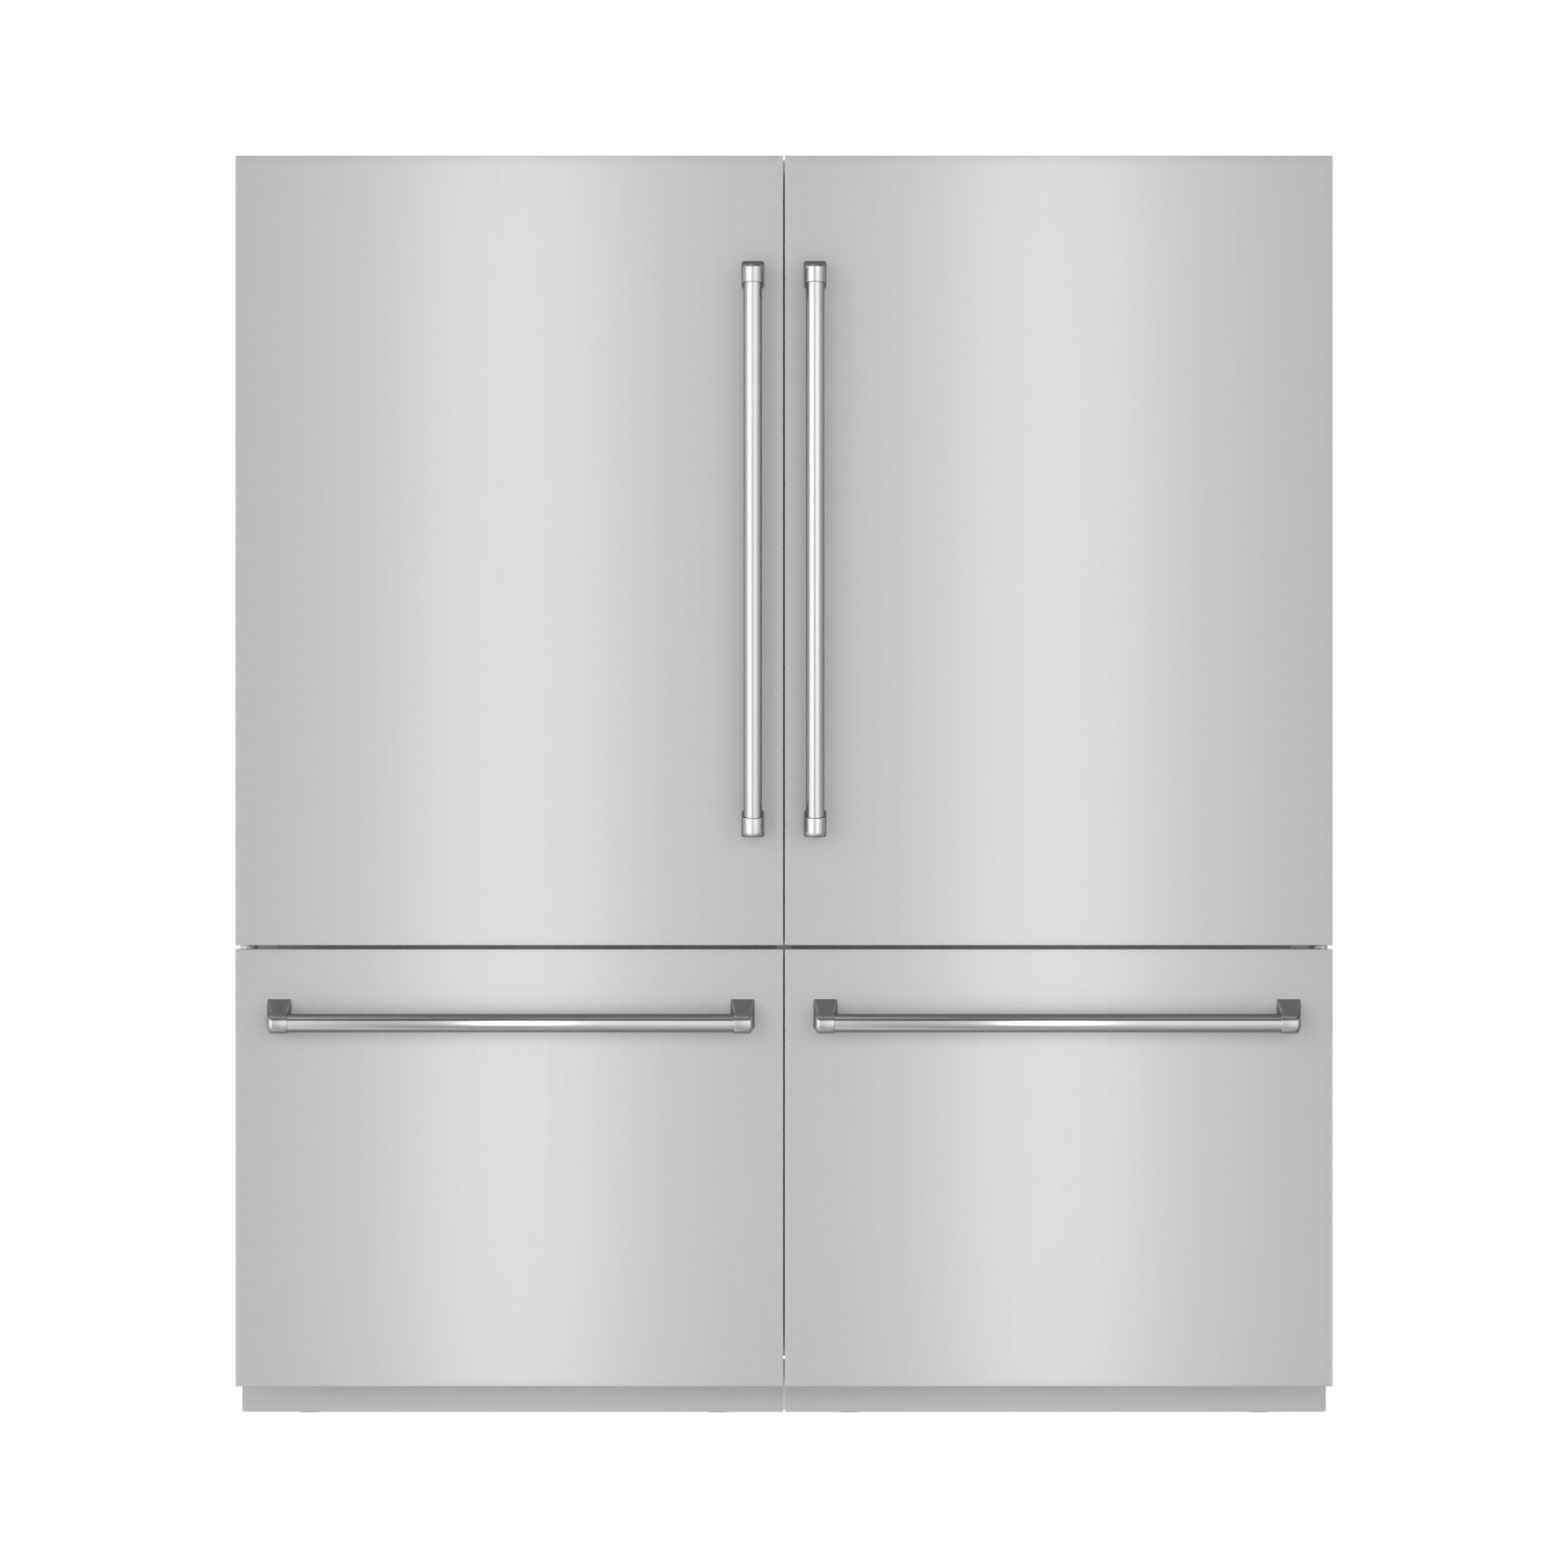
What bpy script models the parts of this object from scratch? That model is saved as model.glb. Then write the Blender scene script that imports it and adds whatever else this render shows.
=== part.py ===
"""Pair of built-in refrigerators, side by side, that make one French door refrigerator.

Each unit has a hinged fresh-food door over a freezer drawer. The two units mirror each other about
the plane x = 0. +Z is up, the doors face -Y, and the origin is on the floor under the middle of the
whole object. Sizes are in metres. "u" is a distance out from the middle plane, so x = side * u.
"""

import math

import bmesh
import bpy
from mathutils import Matrix, Vector

# Driving dimensions
OVERALL_DEPTH = 0.694
HEIGHT = 2.087
PANEL_WIDTH = 0.9066
PANEL_SEAM = 0.0027
DOOR_HEIGHT = 1.3065
DOOR_GAP = 0.0065
DRAWER_HEIGHT = 0.7238
HANDLE_REACH = 0.064

# Clearance between touching pieces, overlap of joined solids, and how far a cutter runs past a face
FIT = 0.0003
LAP = 0.001
PAST = 0.010

# Widths, from the middle plane outwards
PANEL_U = (PANEL_SEAM / 2, PANEL_SEAM / 2 + PANEL_WIDTH)
CASE_U = (0.0015, 0.9027)
CAVITY_U = (0.056, 0.846)
CORE_U = (0.006, CASE_U[1])
GASKET_U = (0.030, 0.875)

# Depths, from the handles back to the rear wall
BACK_Y = OVERALL_DEPTH / 2
PANEL_FRONT_Y = -BACK_Y + HANDLE_REACH
PANEL_DEPTH = 0.020
PANEL_BACK_Y = PANEL_FRONT_Y + PANEL_DEPTH
CORE_DEPTH = 0.045
GASKET_DEPTH = 0.012
CORE_BACK_Y = PANEL_BACK_Y + CORE_DEPTH
FACE_Y = CORE_BACK_Y + GASKET_DEPTH
CAVITY_BACK_Y = 0.283

# Heights
DRAWER_BOTTOM = HEIGHT - DOOR_HEIGHT - DOOR_GAP - DRAWER_HEIGHT
DRAWER_Z = (DRAWER_BOTTOM, DRAWER_BOTTOM + DRAWER_HEIGHT)
DOOR_Z = (HEIGHT - DOOR_HEIGHT, HEIGHT)
CASE_Z = (0.095, 2.066)
FRIDGE_Z = (0.840, 2.020)
FREEZER_Z = (0.150, 0.728)
DOOR_CORE_Z = (0.7905, 2.0645)
DRAWER_CORE_Z = (0.104, 0.762)

# The rear bottom of each unit is notched for the machine compartment
NOTCH_Y, NOTCH_Z = 0.165, 0.285
STEP_Y, STEP_Z = 0.103, 0.347

# Sheet and wall thicknesses
SKIN = 0.0012
CASE_WALL = 0.001
LINER_WALL = 0.002
BIN_WALL = 0.003

# Door hinge pins
PIN_INSET = 0.015
PIN_U = CASE_U[1] - PIN_INSET
PIN_Y = CORE_BACK_Y - PIN_INSET
PIN_RADIUS = 0.005
PIN_BORE = 0.0055
HINGE_PLATE = 0.005
KNUCKLE_RADIUS = 0.0145

# Handles: a tube held in a cast bracket at each end
BAR_RADIUS = 0.01475
BAR_BORE = 0.0125
COLLAR_RADIUS = 0.0172
COLLAR_LENGTH = 0.031
BAR_STAND_OFF = HANDLE_REACH - COLLAR_RADIUS
SOCKET_DEPTH = 0.020
DOOR_HANDLE_U = 0.0515
DOOR_HANDLE_Z = (0.9595, 1.9075)
DRAWER_HANDLE_U = (0.0518, 0.8519)
DRAWER_HANDLE_Z = 0.6526

# Shelves and the crisper behind the door
SHELF_Z = {"crisper": 1.045, "upper": 1.520}
SHELF_THICKNESS = 0.005
SHELF_Y = (-0.085, 0.250)
LEDGE_DEPTH = 0.012
CRISPER_U = (0.075, 0.827)
CRISPER_Y = (-0.080, 0.245)
CRISPER_Z = (0.8435, 1.036)

# The door's raised inner rim, which holds the bins
RIM_U = (0.072, 0.830)
RIM_Z = (0.858, 2.002)
RIM_WIDTH = 0.035
RIM_DEPTH = 0.040
BIN_BOTTOM = {"lower": 1.090, "upper": 1.560}
BIN_HEIGHT = 0.115
BIN_REACH = 0.110

# Freezer slides: channels on the cavity's walls, and the drawer's runners inside them
RAIL_Y = (-0.190, 0.258)
RAIL_Z = (0.553, 0.607)
RAIL_DEPTH = 0.016
RAIL_WEB = 0.0035
RUNNER_U = (0.0610, 0.0860)
RUNNER_REAR_Y = 0.240
RUNNER_Z = (0.5595, 0.6005)

# Freezer tub, whose rear steps up over the machine compartment
TUB_U = (0.090, 0.812)
TUB_Y = (-0.208, 0.212)
TUB_Z = (0.165, 0.6045)
TUB_STEP_Y, TUB_STEP_Z = 0.090, 0.362
TUB_RIM_U = (0.0745, 0.8275)

# Base
DECK_U = (0.030, 0.872)
DECK_Y = (-0.130, 0.146)
DECK_SHEET = 0.006
TRAY_Z = (0.050, 0.056)
BASE_REAR_Y = 0.345
BASE_RAIL_WIDTH = 0.030

SIDES = {"left": -1, "right": 1}


def clear_scene():
    for existing in list(bpy.data.objects):
        bpy.data.objects.remove(existing)


def collection(name):
    made = bpy.data.collections.new(name)
    bpy.context.scene.collection.children.link(made)
    return made


def material(name, colour, roughness, metallic=0.0, alpha=1.0):
    made = bpy.data.materials.new(name)
    made.use_nodes = True
    shader = made.node_tree.nodes["Principled BSDF"]
    shader.inputs["Base Color"].default_value = (*colour, 1.0)
    shader.inputs["Roughness"].default_value = roughness
    shader.inputs["Metallic"].default_value = metallic
    shader.inputs["Alpha"].default_value = alpha
    return made


clear_scene()
PARTS = collection("french_door_refrigerator")
CUTTERS = collection("cutters")
FINISHES = {
    "brushed_steel": material("brushed_steel", (0.62, 0.62, 0.62), 0.32, 1.0),
    "handle_steel": material("handle_steel", (0.68, 0.68, 0.68), 0.20, 1.0),
    "case_grey": material("case_grey", (0.35, 0.36, 0.37), 0.45, 0.6),
    "foam": material("foam", (0.86, 0.80, 0.62), 0.90),
    "liner_white": material("liner_white", (0.90, 0.91, 0.92), 0.30),
    "gasket_grey": material("gasket_grey", (0.30, 0.31, 0.32), 0.70),
    "zinc_steel": material("zinc_steel", (0.55, 0.56, 0.57), 0.35, 1.0),
    "frame_black": material("frame_black", (0.06, 0.06, 0.065), 0.55),
    "clear_plastic": material("clear_plastic", (0.85, 0.90, 0.93), 0.10, alpha=0.45),
    "shelf_glass": material("shelf_glass", (0.80, 0.88, 0.86), 0.05, alpha=0.35),
    "tub_white": material("tub_white", (0.86, 0.88, 0.89), 0.35),
}


def finish(thing, name, parent=None):
    """Gives the piece its material and hangs it on its joint's empty."""
    thing.data.materials.clear()
    thing.data.materials.append(FINISHES[name])
    if parent is not None:
        thing.parent = parent
        thing.matrix_parent_inverse = parent.matrix_world.inverted()
    return thing


def from_bmesh(name, shape, matrix, group, smooth=False):
    bmesh.ops.recalc_face_normals(shape, faces=shape.faces)
    mesh = bpy.data.meshes.new(name)
    shape.to_mesh(mesh)
    shape.free()
    if smooth:
        mesh.shade_smooth()
        mesh.set_sharp_from_angle(angle=math.radians(35))
    thing = bpy.data.objects.new(name, mesh)
    thing.matrix_world = matrix
    group.objects.link(thing)
    if group is CUTTERS:
        thing.hide_render = True
        thing.display_type = "WIRE"
    return thing


def box(name, xs, ys, zs, group=PARTS):
    """A block between two limits on each axis."""
    limits = [sorted(pair) for pair in (xs, ys, zs)]
    size = [high - low for low, high in limits]
    centre = [(high + low) / 2 for low, high in limits]
    shape = bmesh.new()
    bmesh.ops.create_cube(shape, size=1.0, matrix=Matrix.Diagonal((*size, 1.0)))
    return from_bmesh(name, shape, Matrix.Translation(centre), group)


def cylinder(name, radius, length, matrix, group=PARTS, segments=24):
    """A cylinder along the matrix's own Z, from its origin."""
    shape = bmesh.new()
    bmesh.ops.create_cone(
        shape,
        cap_ends=True,
        segments=segments,
        radius1=radius,
        radius2=radius,
        depth=length,
        matrix=Matrix.Translation((0, 0, length / 2)),
    )
    return from_bmesh(name, shape, matrix, group, smooth=True)


def prism(name, xs, outline, group=PARTS):
    """A side outline of (y, z) points, extruded across from one x to another."""
    left, right = sorted(xs)
    shape = bmesh.new()
    face = shape.faces.new([shape.verts.new((0, y, z)) for y, z in outline])
    swept = bmesh.ops.extrude_face_region(shape, geom=[face])
    moved = [item for item in swept["geom"] if isinstance(item, bmesh.types.BMVert)]
    bmesh.ops.translate(shape, verts=moved, vec=(right - left, 0, 0))
    return from_bmesh(name, shape, Matrix.Translation((left, 0, 0)), group)


def turned(name, profile, place, segments, wall_loop=False):
    """A profile of (radius, height) points turned about a vertical axis."""
    mesh = bpy.data.meshes.new(name)
    points = [(radius, 0, height) for radius, height in profile]
    edges = [(i, i + 1) for i in range(len(points) - 1)]
    if wall_loop:
        edges.append((len(points) - 1, 0))
    mesh.from_pydata(points, edges, [])
    thing = bpy.data.objects.new(name, mesh)
    thing.location = place
    PARTS.objects.link(thing)
    screw = thing.modifiers.new("turn", "SCREW")
    screw.steps = segments
    screw.render_steps = segments
    screw.use_merge_vertices = True
    screw.merge_threshold = 0.00001
    screw.use_smooth_shade = True
    return thing


def combine(target, others, operation):
    for other in others:
        step = target.modifiers.new(operation.lower(), "BOOLEAN")
        step.operation = operation
        step.object = other
        step.solver = "EXACT"
    return target


def cut(target, *others):
    return combine(target, others, "DIFFERENCE")


def join(target, *others):
    return combine(target, others, "UNION")


def across(side, span):
    """The x limits of a span given outwards from the middle plane."""
    return (side * span[0], side * span[1])


def grown(span, by):
    return (span[0] - by, span[1] + by)


def axis_empty(name, place):
    empty = bpy.data.objects.new(name, None)
    empty.location = place
    PARTS.objects.link(empty)
    bpy.context.view_layer.update()
    return empty


# ---------------------------------------------------------------- cabinet

def case_outline(inset, front):
    """The unit's side view with its rear notch, shrunk by an inset and open to the front."""
    low, high = CASE_Z
    return [
        (front, low + inset),
        (NOTCH_Y - inset, low + inset),
        (NOTCH_Y - inset, NOTCH_Z + inset),
        (BACK_Y - inset, NOTCH_Z + inset),
        (BACK_Y - inset, high - inset),
        (front, high - inset),
    ]


def freezer_outline(growth, front):
    """The freezer cavity's side view, which steps up over the machine compartment."""
    low, high = FREEZER_Z
    return [
        (front, low - growth),
        (STEP_Y + growth, low - growth),
        (STEP_Y + growth, STEP_Z - growth),
        (CAVITY_BACK_Y + growth, STEP_Z - growth),
        (CAVITY_BACK_Y + growth, high + growth),
        (front, high + growth),
    ]


def cavity_cutters(name, side, growth, front):
    """Both cavities as solids, grown by their walls and open to the front."""
    spread = across(side, grown(CAVITY_U, growth))
    fridge = box(
        f"{name}_fridge",
        spread,
        (front, CAVITY_BACK_Y + growth),
        grown(FRIDGE_Z, growth),
        CUTTERS,
    )
    freezer = prism(f"{name}_freezer", spread, freezer_outline(growth, front), CUTTERS)
    return fridge, freezer


def make_case(label, side):
    """The outer wrapper: a thin steel shell, open at the front."""
    case = prism(f"{label}_case", across(side, CASE_U), case_outline(0, FACE_Y))
    hollow = prism(
        f"{label}_case_hollow",
        across(side, grown(CASE_U, -CASE_WALL)),
        case_outline(CASE_WALL, FACE_Y - PAST),
        CUTTERS,
    )
    finish(cut(case, hollow), "case_grey")


def make_insulation(label, side):
    """The foamed body between the wrapper and the liner, with its two cavities."""
    inset = CASE_WALL + FIT
    behind_flange = FACE_Y + LINER_WALL + FIT
    body = prism(
        f"{label}_insulation",
        across(side, grown(CASE_U, -inset)),
        case_outline(inset, behind_flange),
    )
    cut(body, *cavity_cutters(f"{label}_foam", side, LINER_WALL + FIT, FACE_Y - PAST))
    finish(body, "foam")


def make_liner(label, side):
    """The moulded liner of both cavities, with its front flange and shelf ledges."""
    inset = CASE_WALL + FIT
    liner = box(
        f"{label}_liner",
        across(side, grown(CASE_U, -inset)),
        (FACE_Y, FACE_Y + LINER_WALL),
        grown(CASE_Z, -inset),
    )
    inside_flange = FACE_Y + LINER_WALL / 2
    join(liner, *cavity_cutters(f"{label}_liner", side, LINER_WALL, inside_flange))
    cut(liner, *cavity_cutters(f"{label}_hollow", side, 0, FACE_Y - PAST))
    for shelf, height in SHELF_Z.items():
        for end, wall, inward in (("inner", CAVITY_U[0], 1), ("outer", CAVITY_U[1], -1)):
            ledge = box(
                f"{label}_{shelf}_{end}_ledge",
                across(side, (wall - inward * LAP, wall + inward * LEDGE_DEPTH)),
                (SHELF_Y[0] + LEDGE_DEPTH, SHELF_Y[1]),
                (height - LEDGE_DEPTH, height - FIT),
                CUTTERS,
            )
            join(liner, ledge)
    finish(liner, "liner_white")


def make_base_frame(label, side):
    """The steel base: two rails, a front deck, a lowered rear tray and two rear glides."""
    deck_top = CASE_Z[0] - FIT
    drop_y = (DECK_Y[1] - DECK_SHEET, DECK_Y[1])
    rail_z = (0.030, deck_top - 2 * LAP)
    glide_y, glide_height = (0.280, 0.330), 0.040
    frame = box(
        f"{label}_base_frame",
        across(side, DECK_U),
        DECK_Y,
        (deck_top - DECK_SHEET, deck_top),
    )
    tray = box(
        f"{label}_base_tray",
        across(side, DECK_U),
        (drop_y[0], BASE_REAR_Y),
        TRAY_Z,
        CUTTERS,
    )
    riser = box(
        f"{label}_base_riser",
        across(side, DECK_U),
        drop_y,
        (TRAY_Z[0] + LAP, deck_top - LAP),
        CUTTERS,
    )
    join(frame, tray, riser)
    for end, start in (("inner", DECK_U[0]), ("outer", DECK_U[1] - BASE_RAIL_WIDTH)):
        rail_u = (start, start + BASE_RAIL_WIDTH)
        rail = box(
            f"{label}_base_{end}_rail",
            across(side, grown(rail_u, LAP)),
            (DECK_Y[0] - LAP, BASE_REAR_Y - LAP),
            rail_z,
            CUTTERS,
        )
        glide = box(
            f"{label}_base_{end}_glide",
            across(side, grown(rail_u, -2 * LAP)),
            glide_y,
            (0, glide_height),
            CUTTERS,
        )
        join(frame, rail, glide)
    finish(frame, "frame_black")


def make_feet(label, side):
    """Front levelling feet: a wide pad and its threaded stem, under the base deck."""
    top = CASE_Z[0] - DECK_SHEET - 2 * FIT
    stem, pad, shoulder = 0.006, 0.022, 0.014
    profile = [
        (0, top),
        (stem, top),
        (stem, 0.016),
        (shoulder, 0.012),
        (pad, 0.006),
        (pad, 0),
        (0, 0),
    ]
    foot_y = -0.112
    for end, u in (("inner", 0.110), ("outer", 0.792)):
        foot = turned(f"{label}_{end}_foot", profile, (side * u, foot_y, 0), 16)
        finish(foot, "zinc_steel")


def make_toe_kick(label, side):
    """The recessed kick plate, folded back at its top to meet the base frame."""
    front, sheet = PANEL_FRONT_Y + 0.085, 0.002
    low, high = 0.004, 0.090
    fold_back = DECK_Y[0] - LAP - 2 * FIT
    outline = [
        (front, low),
        (front + sheet, low),
        (front + sheet, high - sheet),
        (fold_back, high - sheet),
        (fold_back, high),
        (front, high),
    ]
    span = (PANEL_U[0], CASE_U[1] - 0.002)
    plate = prism(f"{label}_toe_kick", across(side, span), outline)
    finish(plate, "brushed_steel")


def make_shelves(label, side):
    """Glass shelves, which lie on the liner's ledges."""
    side_gap = 0.002
    for shelf, height in SHELF_Z.items():
        glass = box(
            f"{label}_{shelf}_shelf",
            across(side, grown(CAVITY_U, -side_gap)),
            SHELF_Y,
            (height, height + SHELF_THICKNESS),
        )
        finish(glass, "shelf_glass")


def open_tray(name, side, span, ys, zs):
    """A thin-walled tray, open at the top."""
    tray = box(name, across(side, span), ys, zs)
    hollow = box(
        f"{name}_hollow",
        across(side, grown(span, -BIN_WALL)),
        grown(ys, -BIN_WALL),
        (zs[0] + BIN_WALL, zs[1] + PAST),
        CUTTERS,
    )
    return cut(tray, hollow)


def make_crisper(label, side):
    """The crisper drawer, which slides on the cavity's floor."""
    middle = side * sum(CRISPER_U) / 2
    axis = axis_empty(f"{label}_crisper_slide", (middle, CRISPER_Y[0], CRISPER_Z[0]))
    tray = open_tray(f"{label}_crisper_drawer", side, CRISPER_U, CRISPER_Y, CRISPER_Z)
    finish(tray, "clear_plastic", axis)


def make_compressor(label, side):
    """A welded hermetic compressor pot, seated on the rear tray."""
    wall, seam, foot = 0.074, 0.079, 0.050
    seat = TRAY_Z[1] + FIT
    profile = [
        (0, 0.236),
        (0.040, 0.232),
        (0.066, 0.212),
        (wall, 0.180),
        (wall, 0.146),
        (seam, 0.143),
        (seam, 0.136),
        (wall, 0.133),
        (0.070, 0.095),
        (foot, 0.074),
        (foot, seat),
        (0, seat),
    ]
    pot = turned(f"{label}_compressor", profile, (side * 0.640, 0.255, 0), 20)
    finish(pot, "frame_black")


def hinge_arm(name, side, arm_y, arm_z, pin_z):
    """A hinge's arm, its round eye and the pin that the door turns on, as cutter shapes to join."""
    pin_x = side * PIN_U
    arm = box(
        f"{name}_arm",
        across(side, grown((PIN_U, PIN_U), 0.012)),
        arm_y,
        arm_z,
        CUTTERS,
    )
    eye = cylinder(
        f"{name}_eye",
        KNUCKLE_RADIUS,
        arm_z[1] - arm_z[0] - 2 * FIT,
        Matrix.Translation((pin_x, PIN_Y, arm_z[0] + FIT)),
        CUTTERS,
    )
    pin = cylinder(
        f"{name}_pin",
        PIN_RADIUS,
        pin_z[1] - pin_z[0],
        Matrix.Translation((pin_x, PIN_Y, pin_z[0])),
        CUTTERS,
        segments=16,
    )
    return arm, eye, pin


def make_hinges(label, side):
    """Each hinge is a plate fixed to the unit, with an arm that carries the door's pin."""
    seat = CASE_Z[1] + 2 * FIT
    plate_u, plate_y = (0.790, 0.895), (-0.195, -0.080)
    top = box(
        f"{label}_top_hinge", across(side, plate_u), plate_y, (seat, seat + HINGE_PLATE)
    )
    arm_z = (seat + LAP / 2, seat + HINGE_PLATE - LAP / 2)
    pin_z = (seat - 0.018, seat + 0.002)
    overlap_y = (PIN_Y, plate_y[0] + 0.045)
    join(top, *hinge_arm(f"{label}_top_hinge", side, overlap_y, arm_z, pin_z))
    finish(top, "zinc_steel")

    flange_u, flange_z = (0.840, 0.8935), (0.757, 0.803)
    flange_back = FACE_Y - FIT
    low = DRAWER_Z[1]
    bottom = box(
        f"{label}_bottom_hinge",
        across(side, flange_u),
        (flange_back - 0.003, flange_back),
        flange_z,
    )
    arm_z = (low + LAP / 2, low + HINGE_PLATE - LAP / 2)
    pin_z = (low + 0.002, low + 0.032)
    overlap_y = (PIN_Y, FACE_Y - LAP)
    join(bottom, *hinge_arm(f"{label}_bottom_hinge", side, overlap_y, arm_z, pin_z))
    finish(bottom, "zinc_steel")


def make_slide_rails(label, side):
    """The fixed slide channels on the freezer walls, tied together at the rear."""
    tie_y, tie_z, lip = (0.250, RAIL_Y[1]), (0.570, 0.590), 0.005
    wall_gap = LAP / 2
    rails = box(
        f"{label}_slide_rails", across(side, grown(CAVITY_U, -wall_gap)), tie_y, tie_z
    )
    slots = []
    for end, wall, inward in (("inner", CAVITY_U[0], 1), ("outer", CAVITY_U[1], -1)):
        start = wall + inward * wall_gap
        channel = box(
            f"{label}_{end}_channel",
            across(side, (start, start + inward * RAIL_DEPTH)),
            (RAIL_Y[0], RAIL_Y[1] - LAP),
            RAIL_Z,
            CUTTERS,
        )
        join(rails, channel)
        slot = box(
            f"{label}_{end}_channel_slot",
            across(side, (start + inward * RAIL_WEB, start + inward * 2 * RAIL_DEPTH)),
            (RAIL_Y[0] - PAST, tie_y[0] - 4 * LAP),
            grown(RAIL_Z, -lip),
            CUTTERS,
        )
        slots.append(slot)
    finish(cut(rails, *slots), "zinc_steel")


# ---------------------------------------------------------------- door and drawer fronts

def make_front(name, side, panel_z, core_z, gasket_z, parent):
    """A front: the folded stainless pan, the foamed core inside and behind it, and the seal."""
    panel = box(
        f"{name}_panel", across(side, PANEL_U), (PANEL_FRONT_Y, PANEL_BACK_Y), panel_z
    )
    pan_hollow = box(
        f"{name}_pan_hollow",
        across(side, grown(PANEL_U, -SKIN)),
        (PANEL_FRONT_Y + SKIN, PANEL_BACK_Y + PAST),
        grown(panel_z, -SKIN),
        CUTTERS,
    )
    finish(cut(panel, pan_hollow), "brushed_steel", parent)

    core = box(
        f"{name}_core",
        across(side, CORE_U),
        (PANEL_BACK_Y - 2 * LAP, CORE_BACK_Y),
        core_z,
    )
    backer = box(
        f"{name}_backer",
        across(side, grown(PANEL_U, -SKIN - FIT)),
        (PANEL_FRONT_Y + SKIN + FIT, PANEL_BACK_Y - LAP / 2),
        grown(panel_z, -SKIN - FIT),
        CUTTERS,
    )
    finish(join(core, backer), "liner_white", parent)

    seal_y, seal_width = (CORE_BACK_Y + FIT, FACE_Y - FIT), 0.018
    gasket = box(f"{name}_gasket", across(side, GASKET_U), seal_y, gasket_z)
    opening = box(
        f"{name}_gasket_opening",
        across(side, grown(GASKET_U, -seal_width)),
        grown(seal_y, PAST),
        grown(gasket_z, -seal_width),
        CUTTERS,
    )
    finish(cut(gasket, opening), "gasket_grey", parent)
    return core


def make_bracket(name, along, place, base_a, base_b, parent):
    """A handle bracket: a tapered post off the panel, a round collar, and the bar's socket.

    Its own X runs along the bar towards the handle's end, and its own Z points off the panel.
    base_a and base_b are the post's limits on the panel, along the bar and across it.
    """
    normal = Vector((0, -1, 0))
    turn = Matrix((along, normal.cross(along), normal)).transposed().to_4x4()
    frame = Matrix.Translation(place) @ turn
    half_tip = COLLAR_RADIUS - 0.0004
    tip_a, tip_b = (LAP, COLLAR_LENGTH - LAP), (-half_tip, half_tip)
    tip = BAR_STAND_OFF + 0.003
    shape = bmesh.new()
    bmesh.ops.create_cube(shape, size=1.0)
    for corner in shape.verts:
        spread = (tip_a, tip_b) if corner.co.z > 0 else (base_a, base_b)
        corner.co = (
            spread[0][corner.co.x > 0],
            spread[1][corner.co.y > 0],
            tip if corner.co.z > 0 else FIT,
        )
    post = from_bmesh(name, shape, frame, PARTS)
    lay = Matrix.Translation((0, 0, BAR_STAND_OFF)) @ Matrix.Rotation(
        math.radians(90), 4, "Y"
    )
    collar = cylinder(
        f"{name}_collar", COLLAR_RADIUS, COLLAR_LENGTH, frame @ lay, CUTTERS, 32
    )
    ahead = SOCKET_DEPTH
    socket = cylinder(
        f"{name}_socket",
        BAR_RADIUS + FIT,
        SOCKET_DEPTH + ahead,
        frame @ lay @ Matrix.Translation((0, 0, -ahead)),
        CUTTERS,
    )
    cut(join(post, collar), socket)
    finish(post, "handle_steel", parent)


def make_bar(name, length, place, rotation, parent):
    """The handle's tube, whose ends sit in the brackets' sockets."""
    half = length / 2
    profile = [
        (BAR_RADIUS, half),
        (BAR_RADIUS, -half),
        (BAR_BORE, -half),
        (BAR_BORE, half),
    ]
    bar = turned(name, profile, place, 24, wall_loop=True)
    bar.rotation_euler = rotation
    bpy.context.view_layer.update()
    finish(bar, "handle_steel", parent)


def bar_length(limits):
    """The tube reaches most of the way into both sockets."""
    reach = SOCKET_DEPTH - 0.002
    return limits[1] - limits[0] - 2 * COLLAR_LENGTH + 2 * reach


def make_door_handle(label, side, parent):
    """The upright handle by the middle seam."""
    x = side * DOOR_HANDLE_U
    low, high = DOOR_HANDLE_Z
    make_bar(
        f"{label}_door_handle_bar",
        bar_length(DOOR_HANDLE_Z),
        (x, PANEL_FRONT_Y - BAR_STAND_OFF, (low + high) / 2),
        (0, 0, 0),
        parent,
    )
    root_b = (-0.0195, 0.0195)
    top_root = (-0.0074, COLLAR_LENGTH + 0.0050)
    bottom_root = (-0.0130, COLLAR_LENGTH - 0.0005)
    make_bracket(
        f"{label}_door_handle_top_bracket",
        Vector((0, 0, 1)),
        (x, PANEL_FRONT_Y, high - COLLAR_LENGTH),
        top_root,
        root_b,
        parent,
    )
    make_bracket(
        f"{label}_door_handle_bottom_bracket",
        Vector((0, 0, -1)),
        (x, PANEL_FRONT_Y, low + COLLAR_LENGTH),
        bottom_root,
        root_b,
        parent,
    )


def make_drawer_handle(label, side, parent):
    """The level handle near the drawer's top. Its posts climb to roots above the bar."""
    inner, outer = DRAWER_HANDLE_U
    make_bar(
        f"{label}_drawer_handle_bar",
        bar_length(DRAWER_HANDLE_U),
        (
            side * (inner + outer) / 2,
            PANEL_FRONT_Y - BAR_STAND_OFF,
            DRAWER_HANDLE_Z,
        ),
        (0, math.radians(90), 0),
        parent,
    )
    root_a = (-0.0055, COLLAR_LENGTH + 0.0030)
    root_low, root_high = -0.010, 0.0365
    for end, u, outward in (
        ("inner", inner + COLLAR_LENGTH, -1),
        ("outer", outer - COLLAR_LENGTH, 1),
    ):
        heading = side * outward
        make_bracket(
            f"{label}_drawer_handle_{end}_bracket",
            Vector((heading, 0, 0)),
            (side * u, PANEL_FRONT_Y, DRAWER_HANDLE_Z),
            root_a,
            (root_low, root_high) if heading > 0 else (-root_high, -root_low),
            parent,
        )


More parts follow.
